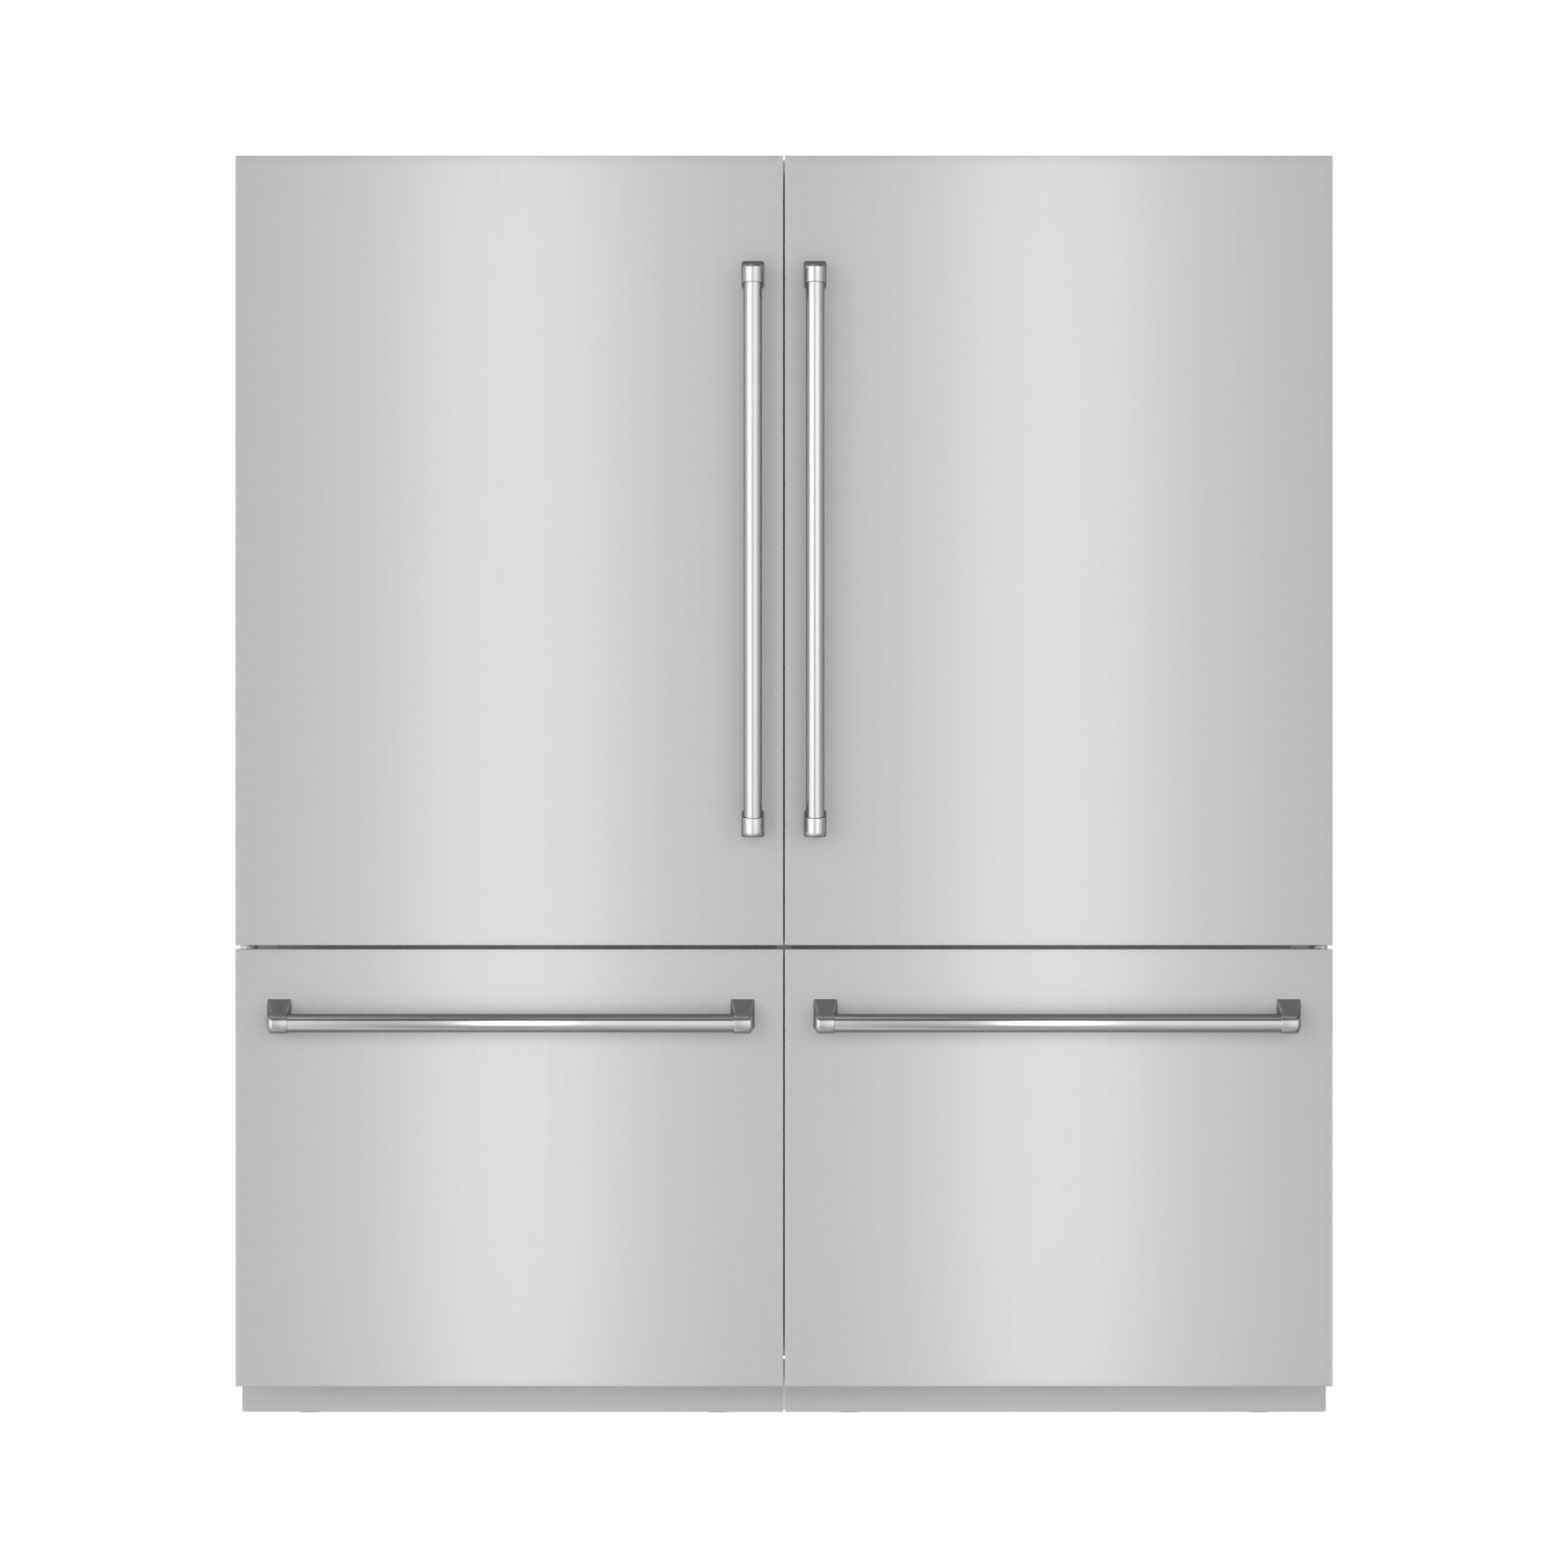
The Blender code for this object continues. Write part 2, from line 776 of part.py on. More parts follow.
def make_door(label, side):
    """The hinged door with its inner rim, pin bores, handle and bins."""
    axis = axis_empty(f"{label}_door_hinge", (side * PIN_U, PIN_Y, DOOR_Z[0]))
    name = f"{label}_door"
    seal_z = (0.806, 2.046)
    core = make_front(name, side, DOOR_Z, DOOR_CORE_Z, seal_z, axis)
    rim = box(
        f"{name}_inner_rim",
        across(side, RIM_U),
        (CORE_BACK_Y - 2 * LAP, CORE_BACK_Y + RIM_DEPTH),
        RIM_Z,
        CUTTERS,
    )
    recess = box(
        f"{name}_rim_recess",
        across(side, grown(RIM_U, -RIM_WIDTH)),
        (CORE_BACK_Y, CORE_BACK_Y + RIM_DEPTH + PAST),
        grown(RIM_Z, -RIM_WIDTH),
        CUTTERS,
    )
    cut(join(core, rim), recess)
    bore_depth = 0.022
    for end, mouth, inward in (("bottom", DOOR_CORE_Z[0], 1), ("top", DOOR_CORE_Z[1], -1)):
        start = min(mouth - inward * PAST, mouth + inward * bore_depth)
        bore = cylinder(
            f"{name}_{end}_pin_bore",
            PIN_BORE,
            bore_depth + PAST,
            Matrix.Translation((side * PIN_U, PIN_Y, start)),
            CUTTERS,
            segments=16,
        )
        cut(core, bore)
    make_door_handle(label, side, axis)
    for which, low in BIN_BOTTOM.items():
        shelf_bin = open_tray(
            f"{name}_{which}_bin",
            side,
            grown(RIM_U, -RIM_WIDTH - LAP),
            (CORE_BACK_Y + LAP, CORE_BACK_Y + BIN_REACH),
            (low, low + BIN_HEIGHT),
        )
        finish(shelf_bin, "clear_plastic", axis)


def tub_outline(wall, rim):
    """The tub's side view: deep at the front, stepped up at the rear."""
    front, back = TUB_Y
    return [
        (front + wall, TUB_Z[0] + wall),
        (TUB_STEP_Y - wall, TUB_Z[0] + wall),
        (TUB_STEP_Y - wall, TUB_STEP_Z + wall),
        (back - wall, TUB_STEP_Z + wall),
        (back - wall, rim),
        (front + wall, rim),
    ]


def make_drawer_frame(name, side, parent):
    """The steel frame behind the drawer front: a plate, two runners and a rear cross bar."""
    middle = sum(CAVITY_U)
    outer_u = (middle - RUNNER_U[1], middle - RUNNER_U[0])
    plate_bottom = 0.520
    frame = box(
        f"{name}_frame",
        across(side, (RUNNER_U[0], outer_u[1])),
        (CORE_BACK_Y + FIT, CORE_BACK_Y + DECK_SHEET),
        (plate_bottom, RUNNER_Z[1]),
    )
    for end, span in (("inner", RUNNER_U), ("outer", outer_u)):
        runner = box(
            f"{name}_{end}_runner",
            across(side, span),
            (CORE_BACK_Y + LAP, RUNNER_REAR_Y),
            (RUNNER_Z[0], RUNNER_Z[1] - FIT),
            CUTTERS,
        )
        join(frame, runner)
    cross_bar = box(
        f"{name}_cross_bar",
        across(side, (RUNNER_U[0] + 2 * LAP, outer_u[1] - 2 * LAP)),
        (RUNNER_REAR_Y - 0.012, RUNNER_REAR_Y - LAP),
        (0.568, 0.592),
        CUTTERS,
    )
    finish(join(frame, cross_bar), "zinc_steel", parent)


def make_tub(name, side, parent):
    """The lift-out tub, whose rim rests on the runners."""
    tub = prism(f"{name}_tub", across(side, TUB_U), tub_outline(0, TUB_Z[1]))
    rim = box(
        f"{name}_tub_rim",
        across(side, TUB_RIM_U),
        grown(TUB_Y, LAP / 2),
        (RUNNER_Z[1] + FIT, TUB_Z[1] + FIT),
        CUTTERS,
    )
    hollow = prism(
        f"{name}_tub_hollow",
        across(side, grown(TUB_U, -BIN_WALL)),
        tub_outline(BIN_WALL, TUB_Z[1] + PAST),
        CUTTERS,
    )
    finish(cut(join(tub, rim), hollow), "tub_white", parent)


def make_drawer(label, side):
    """The freezer drawer: its front and handle, its frame and its tub."""
    start = (side * sum(CAVITY_U) / 2, PANEL_FRONT_Y, DRAWER_Z[0])
    axis = axis_empty(f"{label}_drawer_slide", start)
    name = f"{label}_drawer"
    seal_z = (0.118, 0.754)
    make_front(name, side, DRAWER_Z, DRAWER_CORE_Z, seal_z, axis)
    make_drawer_handle(label, side, axis)
    make_drawer_frame(name, side, axis)
    make_tub(name, side, axis)


def make_unit(label, side):
    make_case(label, side)
    make_insulation(label, side)
    make_liner(label, side)
    make_base_frame(label, side)
    make_feet(label, side)
    make_toe_kick(label, side)
    make_shelves(label, side)
    make_crisper(label, side)
    make_compressor(label, side)
    make_slide_rails(label, side)
    make_hinges(label, side)
    make_door(label, side)
    make_drawer(label, side)


for unit_label, unit_side in SIDES.items():
    make_unit(unit_label, unit_side)
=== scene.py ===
"""Looks of a pair of built-in refrigerators that stand side by side: studio, finishes and pieces.

Everything is in metres. The two units mirror each other about x = 0, so a shape is worked out once,
for the right unit, and its x is multiplied by -1 for the left one.
"""

import bpy
import numpy as np
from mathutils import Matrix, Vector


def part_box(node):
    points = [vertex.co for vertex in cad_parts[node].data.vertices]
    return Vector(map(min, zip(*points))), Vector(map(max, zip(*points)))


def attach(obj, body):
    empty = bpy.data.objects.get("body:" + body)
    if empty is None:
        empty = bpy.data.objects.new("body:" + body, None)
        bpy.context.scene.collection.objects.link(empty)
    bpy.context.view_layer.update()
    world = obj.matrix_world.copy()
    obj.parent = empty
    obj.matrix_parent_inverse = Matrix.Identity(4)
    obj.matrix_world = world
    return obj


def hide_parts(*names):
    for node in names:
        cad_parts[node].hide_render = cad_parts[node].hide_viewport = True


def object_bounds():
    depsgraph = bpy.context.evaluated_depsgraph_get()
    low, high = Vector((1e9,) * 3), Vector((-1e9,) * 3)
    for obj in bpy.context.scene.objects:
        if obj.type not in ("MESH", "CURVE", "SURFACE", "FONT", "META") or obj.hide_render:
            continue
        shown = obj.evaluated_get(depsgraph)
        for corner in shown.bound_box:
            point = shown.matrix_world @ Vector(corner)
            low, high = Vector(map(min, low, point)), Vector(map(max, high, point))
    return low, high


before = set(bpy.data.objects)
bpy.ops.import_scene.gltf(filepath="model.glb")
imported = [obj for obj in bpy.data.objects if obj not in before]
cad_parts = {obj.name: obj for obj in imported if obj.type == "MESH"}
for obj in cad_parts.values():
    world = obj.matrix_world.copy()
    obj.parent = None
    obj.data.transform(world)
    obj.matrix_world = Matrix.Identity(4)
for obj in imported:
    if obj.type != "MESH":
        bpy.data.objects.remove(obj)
cad_box = [[float(value) for value in corner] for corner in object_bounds()]

# ---- Studio --------------------------------------------------
# A long lens stands level with the middle of the fronts, far enough away for an almost flat view.
# The floor is a pale sweep, and a tall soft strip before each door gives the steel its sheen.

total_height = cad_box[1][2]
panel_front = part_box("right_door_panel")[0][1]
lens_distance = 20.0
view_width = 2.5951
lens_below_top = 1.0396

camera = bpy.data.objects.new("camera", bpy.data.cameras.new("camera"))
camera.location = (0, panel_front - lens_distance, total_height - lens_below_top)
camera.rotation_euler = (np.pi / 2, 0, 0)
camera.data.lens = camera.data.sensor_width * lens_distance / view_width
camera.data.clip_end = 200
bpy.context.collection.objects.link(camera)
bpy.context.scene.camera = camera
bpy.context.scene.view_settings.view_transform = "Standard"


class Link:
    """One shader value. Python's operators on it add the Math nodes that work it out."""

    def __init__(self, finish, socket):
        self.finish = finish
        self.socket = socket

    def maths(self, operation, *values):
        return self.finish.node("Math", {"operation": operation}, dict(enumerate(values)))

    def __add__(self, other):
        return self.maths("ADD", self, other)

    def __sub__(self, other):
        return self.maths("SUBTRACT", self, other)

    def __rsub__(self, other):
        return self.maths("SUBTRACT", other, self)

    def __mul__(self, other):
        return self.maths("MULTIPLY", self, other)

    def __truediv__(self, other):
        return self.maths("DIVIDE", self, other)

    __radd__ = __add__
    __rmul__ = __mul__


class Finish:
    """A node tree, of a material or of the world, and the shader in it."""

    def __init__(self, owner, shader="Principled BSDF"):
        owner.use_nodes = True
        self.owner = owner
        self.tree = owner.node_tree
        self.shader = self.tree.nodes[shader]

    def node(self, kind, settings=None, sockets=None, output=0):
        """Any node: its settings are set first, a ramp's stops among them, then its sockets."""
        made = self.tree.nodes.new("ShaderNode" + kind)
        for setting, value in (settings or {}).items():
            if setting == "stops":
                ramp = made.color_ramp.elements
                while len(ramp) < len(value):
                    ramp.new(0.5)
                for element, (place, level) in zip(ramp, value):
                    element.position = place
                    element.color = grey(level)
            else:
                setattr(made, setting, value)
        for socket, value in (sockets or {}).items():
            self.feed(made.inputs[socket], value)
        return Link(self, made.outputs[output])

    def feed(self, socket, value):
        if isinstance(value, Link):
            self.tree.links.new(value.socket, socket)
        else:
            socket.default_value = value

    def set(self, **values):
        """Sets or links the shader's sockets: base_color is Base Color, and so on."""
        sockets = {socket.name.lower().replace(" ", "_"): socket for socket in self.shader.inputs}
        for name, value in values.items():
            self.feed(sockets[name], value)
        return self

    def mixed(self, factor, first, second):
        """The colour that runs from first to second as the factor runs from 0 to 1."""
        sockets = {0: factor, 6: first, 7: second}
        return self.node("Mix", {"data_type": "RGBA"}, sockets, output=2)


def grey(level):
    return (level, level, level, 1.0)


# The room by direction: a bright box to the front left, a softer one to the right, a dark slit and
# then a small box over the horizon, and a dark ceiling. The stops are (part of a turn, light).
room = Finish(bpy.data.worlds.new("studio"), "Background")
bpy.context.scene.world = room.owner
around_stops = [
    (0.000, 0.58), (0.170, 0.60), (0.230, 0.36), (0.256, 0.34), (0.290, 0.78), (0.325, 0.92),
    (0.390, 1.00), (0.420, 1.00), (0.446, 0.78), (0.468, 0.34), (0.484, 0.44), (0.505, 0.72),
    (0.530, 0.70), (0.556, 0.60), (0.613, 0.80), (0.643, 0.58), (0.675, 0.46), (0.720, 0.42),
    (0.750, 0.20), (0.790, 0.10), (0.840, 0.24), (0.900, 0.58), (1.000, 0.58),
]
upward_stops = [
    (0.000, 0.48), (0.083, 0.46), (0.150, 0.41), (0.211, 0.51), (0.272, 0.60), (0.333, 0.67),
    (0.389, 0.76), (0.444, 0.82), (0.500, 0.84), (0.556, 0.90), (0.615, 0.98), (0.650, 0.62),
    (0.685, 0.16), (0.728, 0.05), (0.765, 0.12), (0.800, 0.22), (0.850, 0.36), (0.917, 0.28),
    (0.960, 0.10), (1.000, 0.05),
]
towards = room.node("TexCoord", output="Generated")
east = room.node("SeparateXYZ", sockets={0: towards})
south = room.node("SeparateXYZ", sockets={0: towards}, output=1)
upward = room.node("SeparateXYZ", sockets={0: towards}, output=2)
turn = east.maths("ARCTAN2", east, 0 - south) / (2 * np.pi) + 0.5
climb = upward.maths("ARCSINE", upward) / np.pi + 0.5
around_light = room.node("ValToRGB", {"stops": around_stops}, {0: turn})
upward_light = room.node("ValToRGB", {"stops": upward_stops}, {0: climb})
room_brightness = 2.0
glow = around_light * upward_light * room_brightness
# Seen straight by the camera, the room is plain white.
seen = room.node("LightPath", output="Is Camera Ray")
room.set(color=grey(1.0), strength=room.node("Mix", {}, {0: seen, 2: glow, 3: 1.0}))


strip_width, strip_height, strip_beam, strip_power = 0.24, 2.6, np.radians(72), 0.78
strip_reach, strip_lift = 0.86, 0.05


def strip_light(name, x):
    """A tall, narrow, soft source before a door, with a shallow beam across it."""
    lamp = bpy.data.objects.new(name, bpy.data.lights.new(name, "AREA"))
    lamp.data.shape = "RECTANGLE"
    lamp.data.size = strip_width
    lamp.data.size_y = strip_height
    lamp.data.spread = strip_beam
    lamp.data.energy = strip_power
    lamp.location = (x, panel_front - strip_reach, total_height / 2 + strip_lift)
    lamp.rotation_euler = (np.pi / 2, 0, 0)
    lamp.visible_camera = False
    bpy.context.collection.objects.link(lamp)


door_middle = float(np.mean([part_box("right_door_panel")[end][0] for end in (0, 1)]))
for label, side in (("left", -1), ("right", 1)):
    strip_light(f"{label}_strip_light", side * door_middle)

floor = bpy.data.objects.new("floor", bpy.data.meshes.new("floor"))
floor_reach = 30.0
floor.data.from_pydata(
    [(-floor_reach, -floor_reach, 0), (floor_reach, -floor_reach, 0),
     (floor_reach, floor_reach, 0), (-floor_reach, floor_reach, 0)],
    [], [(0, 1, 2, 3)],
)
floor_paint = Finish(bpy.data.materials.new("floor_paint"))
floor_paint.set(base_color=grey(0.92), roughness=0.9, emission_color=grey(1.0), emission_strength=0.85)
floor.data.materials.append(floor_paint.owner)
floor.visible_glossy = False
bpy.context.collection.objects.link(floor)


# ---- Door and drawer skins -----------------------------------
# Each front is a pan folded from one brushed stainless sheet: a flat face with an upright grain,
# tight bends at its edges, and a hem turned inwards at the back, where the foamed core is clipped.

def rows_of(boxes, corners, levels, axis, steps=5):
    """Rounded rectangles, one a row, stacked along an axis.

    A row's box is (low a, high a, low b, high b) on the other two axes. Each corner of its outline
    is a quarter circle: its centre, plus the corner radius times (cos, sin) of the turned angle.
    """
    boxes, levels = np.atleast_2d(boxes), np.asarray(levels, float)
    size = np.minimum(boxes[:, 1] - boxes[:, 0], boxes[:, 3] - boxes[:, 2])
    radius = np.clip(np.broadcast_to(corners, levels.shape), 1e-5, size / 2 - 1e-6)[:, None]
    quarter = np.arange(4)[:, None] * np.pi / 2
    angle = (quarter + np.linspace(0, np.pi / 2, steps + 1)).ravel()
    right = np.repeat([1, 0, 0, 1], steps + 1)
    upper = np.repeat([1, 1, 0, 0], steps + 1)
    centre_a = np.where(right, boxes[:, 1:2] - radius, boxes[:, 0:1] + radius)
    centre_b = np.where(upper, boxes[:, 3:4] - radius, boxes[:, 2:3] + radius)
    grid = np.empty((len(levels), len(angle), 3))
    first, second = [index for index in range(3) if index != axis]
    grid[..., first] = centre_a + radius * np.cos(angle)
    grid[..., second] = centre_b + radius * np.sin(angle)
    grid[..., axis] = levels[:, None]
    return grid


def bend(inset, level, radius, start, end, steps=4):
    """Profile points on an arc about (inset, level), from one angle in degrees to another."""
    angle = np.radians(np.linspace(start, end, steps + 1))
    return np.stack([inset + radius * np.cos(angle), level + radius * np.sin(angle)], axis=1)


def sleeve(low, high, axis, profile, corner, mouth=1, draft=0.0, steps=5):
    """A box's outline carried along a profile of (inset, level).

    The level is the distance from the box's floor along its axis, towards its mouth. The outline
    shrinks by the inset, and by the draft times what is left to the mouth.
    """
    low, high = np.array(low, float), np.array(high, float)
    profile = np.concatenate([np.atleast_2d(part) for part in profile])
    inset, level = profile[:, 0], profile[:, 1]
    inset = inset + draft * (high[axis] - low[axis] - level)
    first, second = [index for index in range(3) if index != axis]
    boxes = np.stack([low[first] + inset, high[first] - inset,
                      low[second] + inset, high[second] - inset], axis=1)
    levels = low[axis] + level if mouth > 0 else high[axis] - level
    return rows_of(boxes, np.maximum(corner - inset, 0.0004), levels, axis, steps)


def surface(grid, around=True, ends="capped"):
    """The quads between a grid's rows and columns. The end rows are capped, joined or left open.

    A narrow ring, level with its cap, keeps the cap's shading flat.
    """
    if ends == "capped":
        rings = [row.mean(axis=0) + (row - row.mean(axis=0)) * 0.97 for row in (grid[0], grid[-1])]
        grid = np.concatenate([rings[:1], grid, rings[1:]])
    rows, columns = grid.shape[:2]
    index = np.arange(rows * columns).reshape(rows, columns)
    if around:
        index = np.concatenate([index, index[:, :1]], axis=1)
    if ends == "joined":
        index = np.concatenate([index, index[:1]], axis=0)
    quads = np.stack([index[:-1, :-1], index[:-1, 1:], index[1:, 1:], index[1:, :-1]], axis=-1)
    faces = quads.reshape(-1, 4).tolist()
    if ends == "capped":
        faces.append(np.arange(columns)[::-1].tolist())
        faces.append((np.arange(columns) + (rows - 1) * columns).tolist())
    return grid.reshape(-1, 3), faces


def outward(points, faces):
    """Turns the faces round if the closed shape's volume, summed over its fans, is negative."""
    fans = np.array([(face[0], face[i], face[i + 1]) for face in faces for i in range(1, len(face) - 1)])
    a, b, c = points[fans[:, 0]], points[fans[:, 1]], points[fans[:, 2]]
    if np.einsum("ij,ij->i", a, np.cross(b, c)).sum() < 0:
        return [face[::-1] for face in faces]
    return faces


def piece(name, shapes, finish, body, replaces=(), sharp=32, side=1):
    """One object of closed shapes. Edges sharper than an angle stay crisp."""
    every_point, every_face, start = [], [], 0
    for points, faces in shapes:
        placed = points * (side, 1, 1)
        every_point.append(placed)
        every_face += [[start + corner for corner in face] for face in outward(placed, faces)]
        start += len(points)
    mesh = bpy.data.meshes.new(name)
    mesh.from_pydata(np.concatenate(every_point).tolist(), [], every_face)
    mesh.shade_smooth()
    mesh.set_sharp_from_angle(angle=np.radians(sharp))
    made = bpy.data.objects.new(name, mesh)
    made.data.materials.append(finish.owner)
    bpy.context.collection.objects.link(made)
    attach(made, body)
    if replaces:
        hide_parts(*replaces)
    return made


def pair(name, shapes, finish, body, replaces=(), sharp=32):
    """The same piece in both units. A body of "cabinet" is shared, and any other has two."""
    for label, side in (("left", -1), ("right", 1)):
        rides = body if body == "cabinet" else f"{label}_{body}"
        nodes = [f"{label}_{node}" for node in replaces]
        piece(f"{label}_{name}", shapes, finish, rides, nodes, sharp, side)


def corners_of(node):
    """The right unit's node: its lowest and highest corners."""
    return [np.array(corner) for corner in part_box("right_" + node)]


def grain(finish, lengths, seed=0.0, detail=3.0):
    """Noise drawn out by a length on each axis, as brushing leaves it. It is about 0.5 on average."""
    place = finish.node("TexCoord", output="Object")
    scale = tuple(1 / length for length in lengths)
    spread = finish.node("Mapping", {}, {"Vector": place, "Scale": scale, "Location": (seed, 0, 0)})
    return finish.node("TexNoise", {}, {"Vector": spread, "Scale": 1.0, "Detail": detail})


def bumped(finish, height, strength, distance=0.001):
    sockets = {"Height": height, "Strength": strength, "Distance": distance}
    return finish.node("Bump", {}, sockets)


def brushed(name, lengths, colour, roughness, swing=0.03, relief=0.05, **more):
    """Brushed steel. Fine hairlines and slow bands along the grain vary its tone and its gloss."""
    made = Finish(bpy.data.materials.new(name))
    hair = grain(made, lengths)
    band = grain(made, tuple(7 * length for length in lengths), seed=3.0, detail=2.0)
    tone = hair * 0.6 + band * 0.4
    darker, lighter = [grey(colour + sign * swing) for sign in (-1, 1)]
    made.set(base_color=made.mixed(tone, darker, lighter), metallic=1.0, **more)
    made.set(roughness=roughness - 0.05 + tone * 0.10, normal=bumped(made, hair, relief, 0.0004))
    return made


panel_steel = brushed("panel_steel", (0.0011, 0.0011, 0.16), colour=0.525, roughness=0.50, swing=0.022)
sheet, fold, hem = 0.0012, 0.0006, 0.0042
for front in ("door", "drawer"):
    low, high = corners_of(f"{front}_panel")
    depth = high[1] - low[1]
    profile = [
        bend(fold, fold, fold, -90, -180),
        bend(fold, depth - fold, fold, 180, 90),
        [(hem, depth), (hem, depth - sheet), (sheet, depth - sheet), (sheet, sheet)],
    ]
    skin = surface(sleeve(low, high, 1, profile, corner=0.0014))
    pair(f"{front}_skin", [skin], panel_steel, front, [f"{front}_panel"])


# ---- Handles -------------------------------------------------
# A steel tube of about 29 mm, brushed along its length, is held at each end by a cast bracket. The
# bracket is a tapered post with a round collar that the tube plugs into. Upright ones are on the
# doors and level ones on the drawers, where the posts climb to roots above the tube.

def turned(profile, centre, axis, steps=48):
    """Profile parts of (radius, height) turned about an axis: (cos, sin) times radius, and height."""
    profile = np.concatenate([np.atleast_2d(part) for part in profile])
    angle = np.arange(steps) * 2 * np.pi / steps
    grid = np.empty((len(profile), steps, 3))
    first, second = [index for index in range(3) if index != axis]
    grid[..., first] = profile[:, :1] * np.cos(angle)
    grid[..., second] = profile[:, :1] * np.sin(angle)
    grid[..., axis] = profile[:, 1:]
    return surface(grid + np.asarray(centre, float))


# The black edge tint darkens the tubes' reflections towards their silhouettes: painted dark outlines.
tube_look = {"colour": 0.60, "roughness": 0.20, "swing": 0.025, "specular_tint": grey(0.0)}
upright_steel = brushed("upright_handle_steel", (0.0007, 0.0007, 0.09), **tube_look)
level_steel = brushed("level_handle_steel", (0.09, 0.0007, 0.0007), **tube_look)
# A dark grey edge tint does the same on the castings: painted dark outlines at their edges.
cast_look = {"colour": 0.62, "roughness": 0.24, "swing": 0.025, "specular_tint": grey(0.28)}
cast_steel = brushed("cast_handle_steel", (0.0008, 0.0008, 0.012), **cast_look)
collar_radius, collar_length, root_fillet = 0.0172, 0.031, 0.0025


def bracket(place, along, across, stand_off, root_along, root_across, slant):
    """A post and its collar. along points to the handle's end, and across lies on the panel.

    The stand-off is the height of the handle's centre line over the panel. The post's outline runs
    from the root on the panel to the collar's own width, with its corners rounded. The collar is a
    cylinder with a domed end. The slant leans its inner end: a point moves towards the tube by the
    slant times its depth behind the collar's front.
    """
    off = np.array((0.0, -1.0, 0.0))
    basis = np.array([along, across, off], float)
    lift = np.linspace(0, 1, 9) ** 1.15
    root = np.array([*root_along, *root_across])
    tip = np.array([0.0010, collar_length - 0.0045, -collar_radius + 0.0006, collar_radius - 0.0006])
    boxes = root + (tip - root) * lift[:, None]
    flare = root_fillet * np.exp(-lift * 24)[:, None] * (-1, 1, -1, 1)
    levels = 0.0001 + (stand_off + 0.004) * lift
    post = rows_of(boxes + flare * 0.25, 0.0030 + 0.0035 * lift, levels, 2)
    dome, lip = 0.0075, 0.0011
    profile = np.concatenate([
        [(collar_radius - 0.0028, 0.0022), (collar_radius - 0.0026, 0.0004)],
        bend(collar_radius - lip, lip, lip, -90, 0),
        bend(collar_radius - dome, collar_length - dome, dome, 0, 84, 7),
    ])
    angle = np.arange(64) * 2 * np.pi / 64
    collar = np.empty((len(profile), 64, 3))
    collar[..., 1] = profile[:, :1] * np.cos(angle)
    collar[..., 2] = stand_off + profile[:, :1] * np.sin(angle)
    collar[..., 0] = profile[:, 1:]
    behind = stand_off + collar_radius - collar[..., 2]
    towards_tube = np.clip(1 - collar[..., 0] / collar_length, 0, 1)
    collar[..., 0] -= slant * behind * towards_tube
    return [surface(place + part @ basis) for part in (post, collar)]


handles = {
    "door": {"axis": 2, "finish": upright_steel, "ends": ("bottom", "top")},
    "drawer": {"axis": 0, "finish": level_steel, "ends": ("inner", "outer")},
}
for front, handle in handles.items():
    axis = handle["axis"]
    low, high = corners_of(f"{front}_handle_bar")
    middle, half = (low + high) / 2, (high - low)[axis] / 2
    radius = (high - low)[1] / 2
    stand_off = panel_front - middle[1]
    edge = 0.0015
    profile = [
        bend(radius - edge, -half + edge, edge, -90, 0, 3),
        bend(radius - edge, half - edge, edge, 0, 90, 3),
    ]
    bar = turned(profile, middle, axis, steps=72)
    replaced = [f"{front}_handle_bar"]
    pair(f"{front}_handle_tube", [bar], handle["finish"], front, replaced)
    for end, outwards in zip(handle["ends"], (-1, 1)):
        node = f"{front}_handle_{end}_bracket"
        low, high = corners_of(node)
        along = np.zeros(3)
        along[axis] = outwards
        place = middle.copy()
        place[1] = panel_front
        if front == "door":
            across = np.array((-outwards, 0, 0))
            outer_face = (high if outwards > 0 else low)[2]
            collar_end = outer_face - outwards * (0.0050 if end == "top" else 0.0)
            place[2] = collar_end - outwards * collar_length
            root_across = (-0.0180, 0.0180)
            if end == "top":
                root_along, slant = (-0.0085, collar_length + 0.0046), 0.06
            else:
                root_along, slant = (-0.0126, collar_length - 0.001), 0.20
        else:
            across = np.array((0, 0, 1.0))
            place[0] = (high if outwards > 0 else low)[0] - outwards * (collar_length + 0.0030)
            root_along = (-0.0052, collar_length + 0.0027)
            root_across, slant = (-0.0095, 0.0380), 0.03
        shapes = bracket(place, along, across, stand_off, root_along, root_across, slant)
        pair(f"{front}_handle_{end}_casting", shapes, cast_steel, front, [node], sharp=40)


# ---- Toe kicks -----------------------------------------------
# A stainless plinth closes the space under each drawer, back from it. It is one folded sheet, with
# small rounded corners at the floor, clipped by its top flange to the front of the base.

def slab(low, high, axis, edge, corner, steps=5):
    """A block with a rounded edge: quarter circles lead from its sides into its two faces."""
    depth = high[axis] - low[axis]
    profile = [bend(edge, edge, edge, -90, -180), bend(edge, depth - edge, edge, 180, 90)]
    return surface(sleeve(low, high, axis, profile, corner=corner, steps=steps))


kick_low, kick_high = corners_of("toe_kick")
kick_sheet = 0.0015
plinth_steel = brushed("plinth_steel", (0.20, 0.0011, 0.0011), colour=0.60, roughness=0.72)
plate_high = (kick_high[0], kick_low[1] + kick_sheet, kick_high[2])
plinth = slab(kick_low, plate_high, 1, edge=0.0005, corner=0.0034)
flange_low = (kick_low[0] + 0.003, kick_low[1] + 0.0008, kick_high[2] - 0.0013)
flange_high = (kick_high[0] - 0.003, kick_high[1], kick_high[2] - 0.0001)
flange = slab(flange_low, flange_high, 2, edge=0.0004, corner=0.004)
pair("plinth", [plinth, flange], plinth_steel, "cabinet", ["toe_kick"])


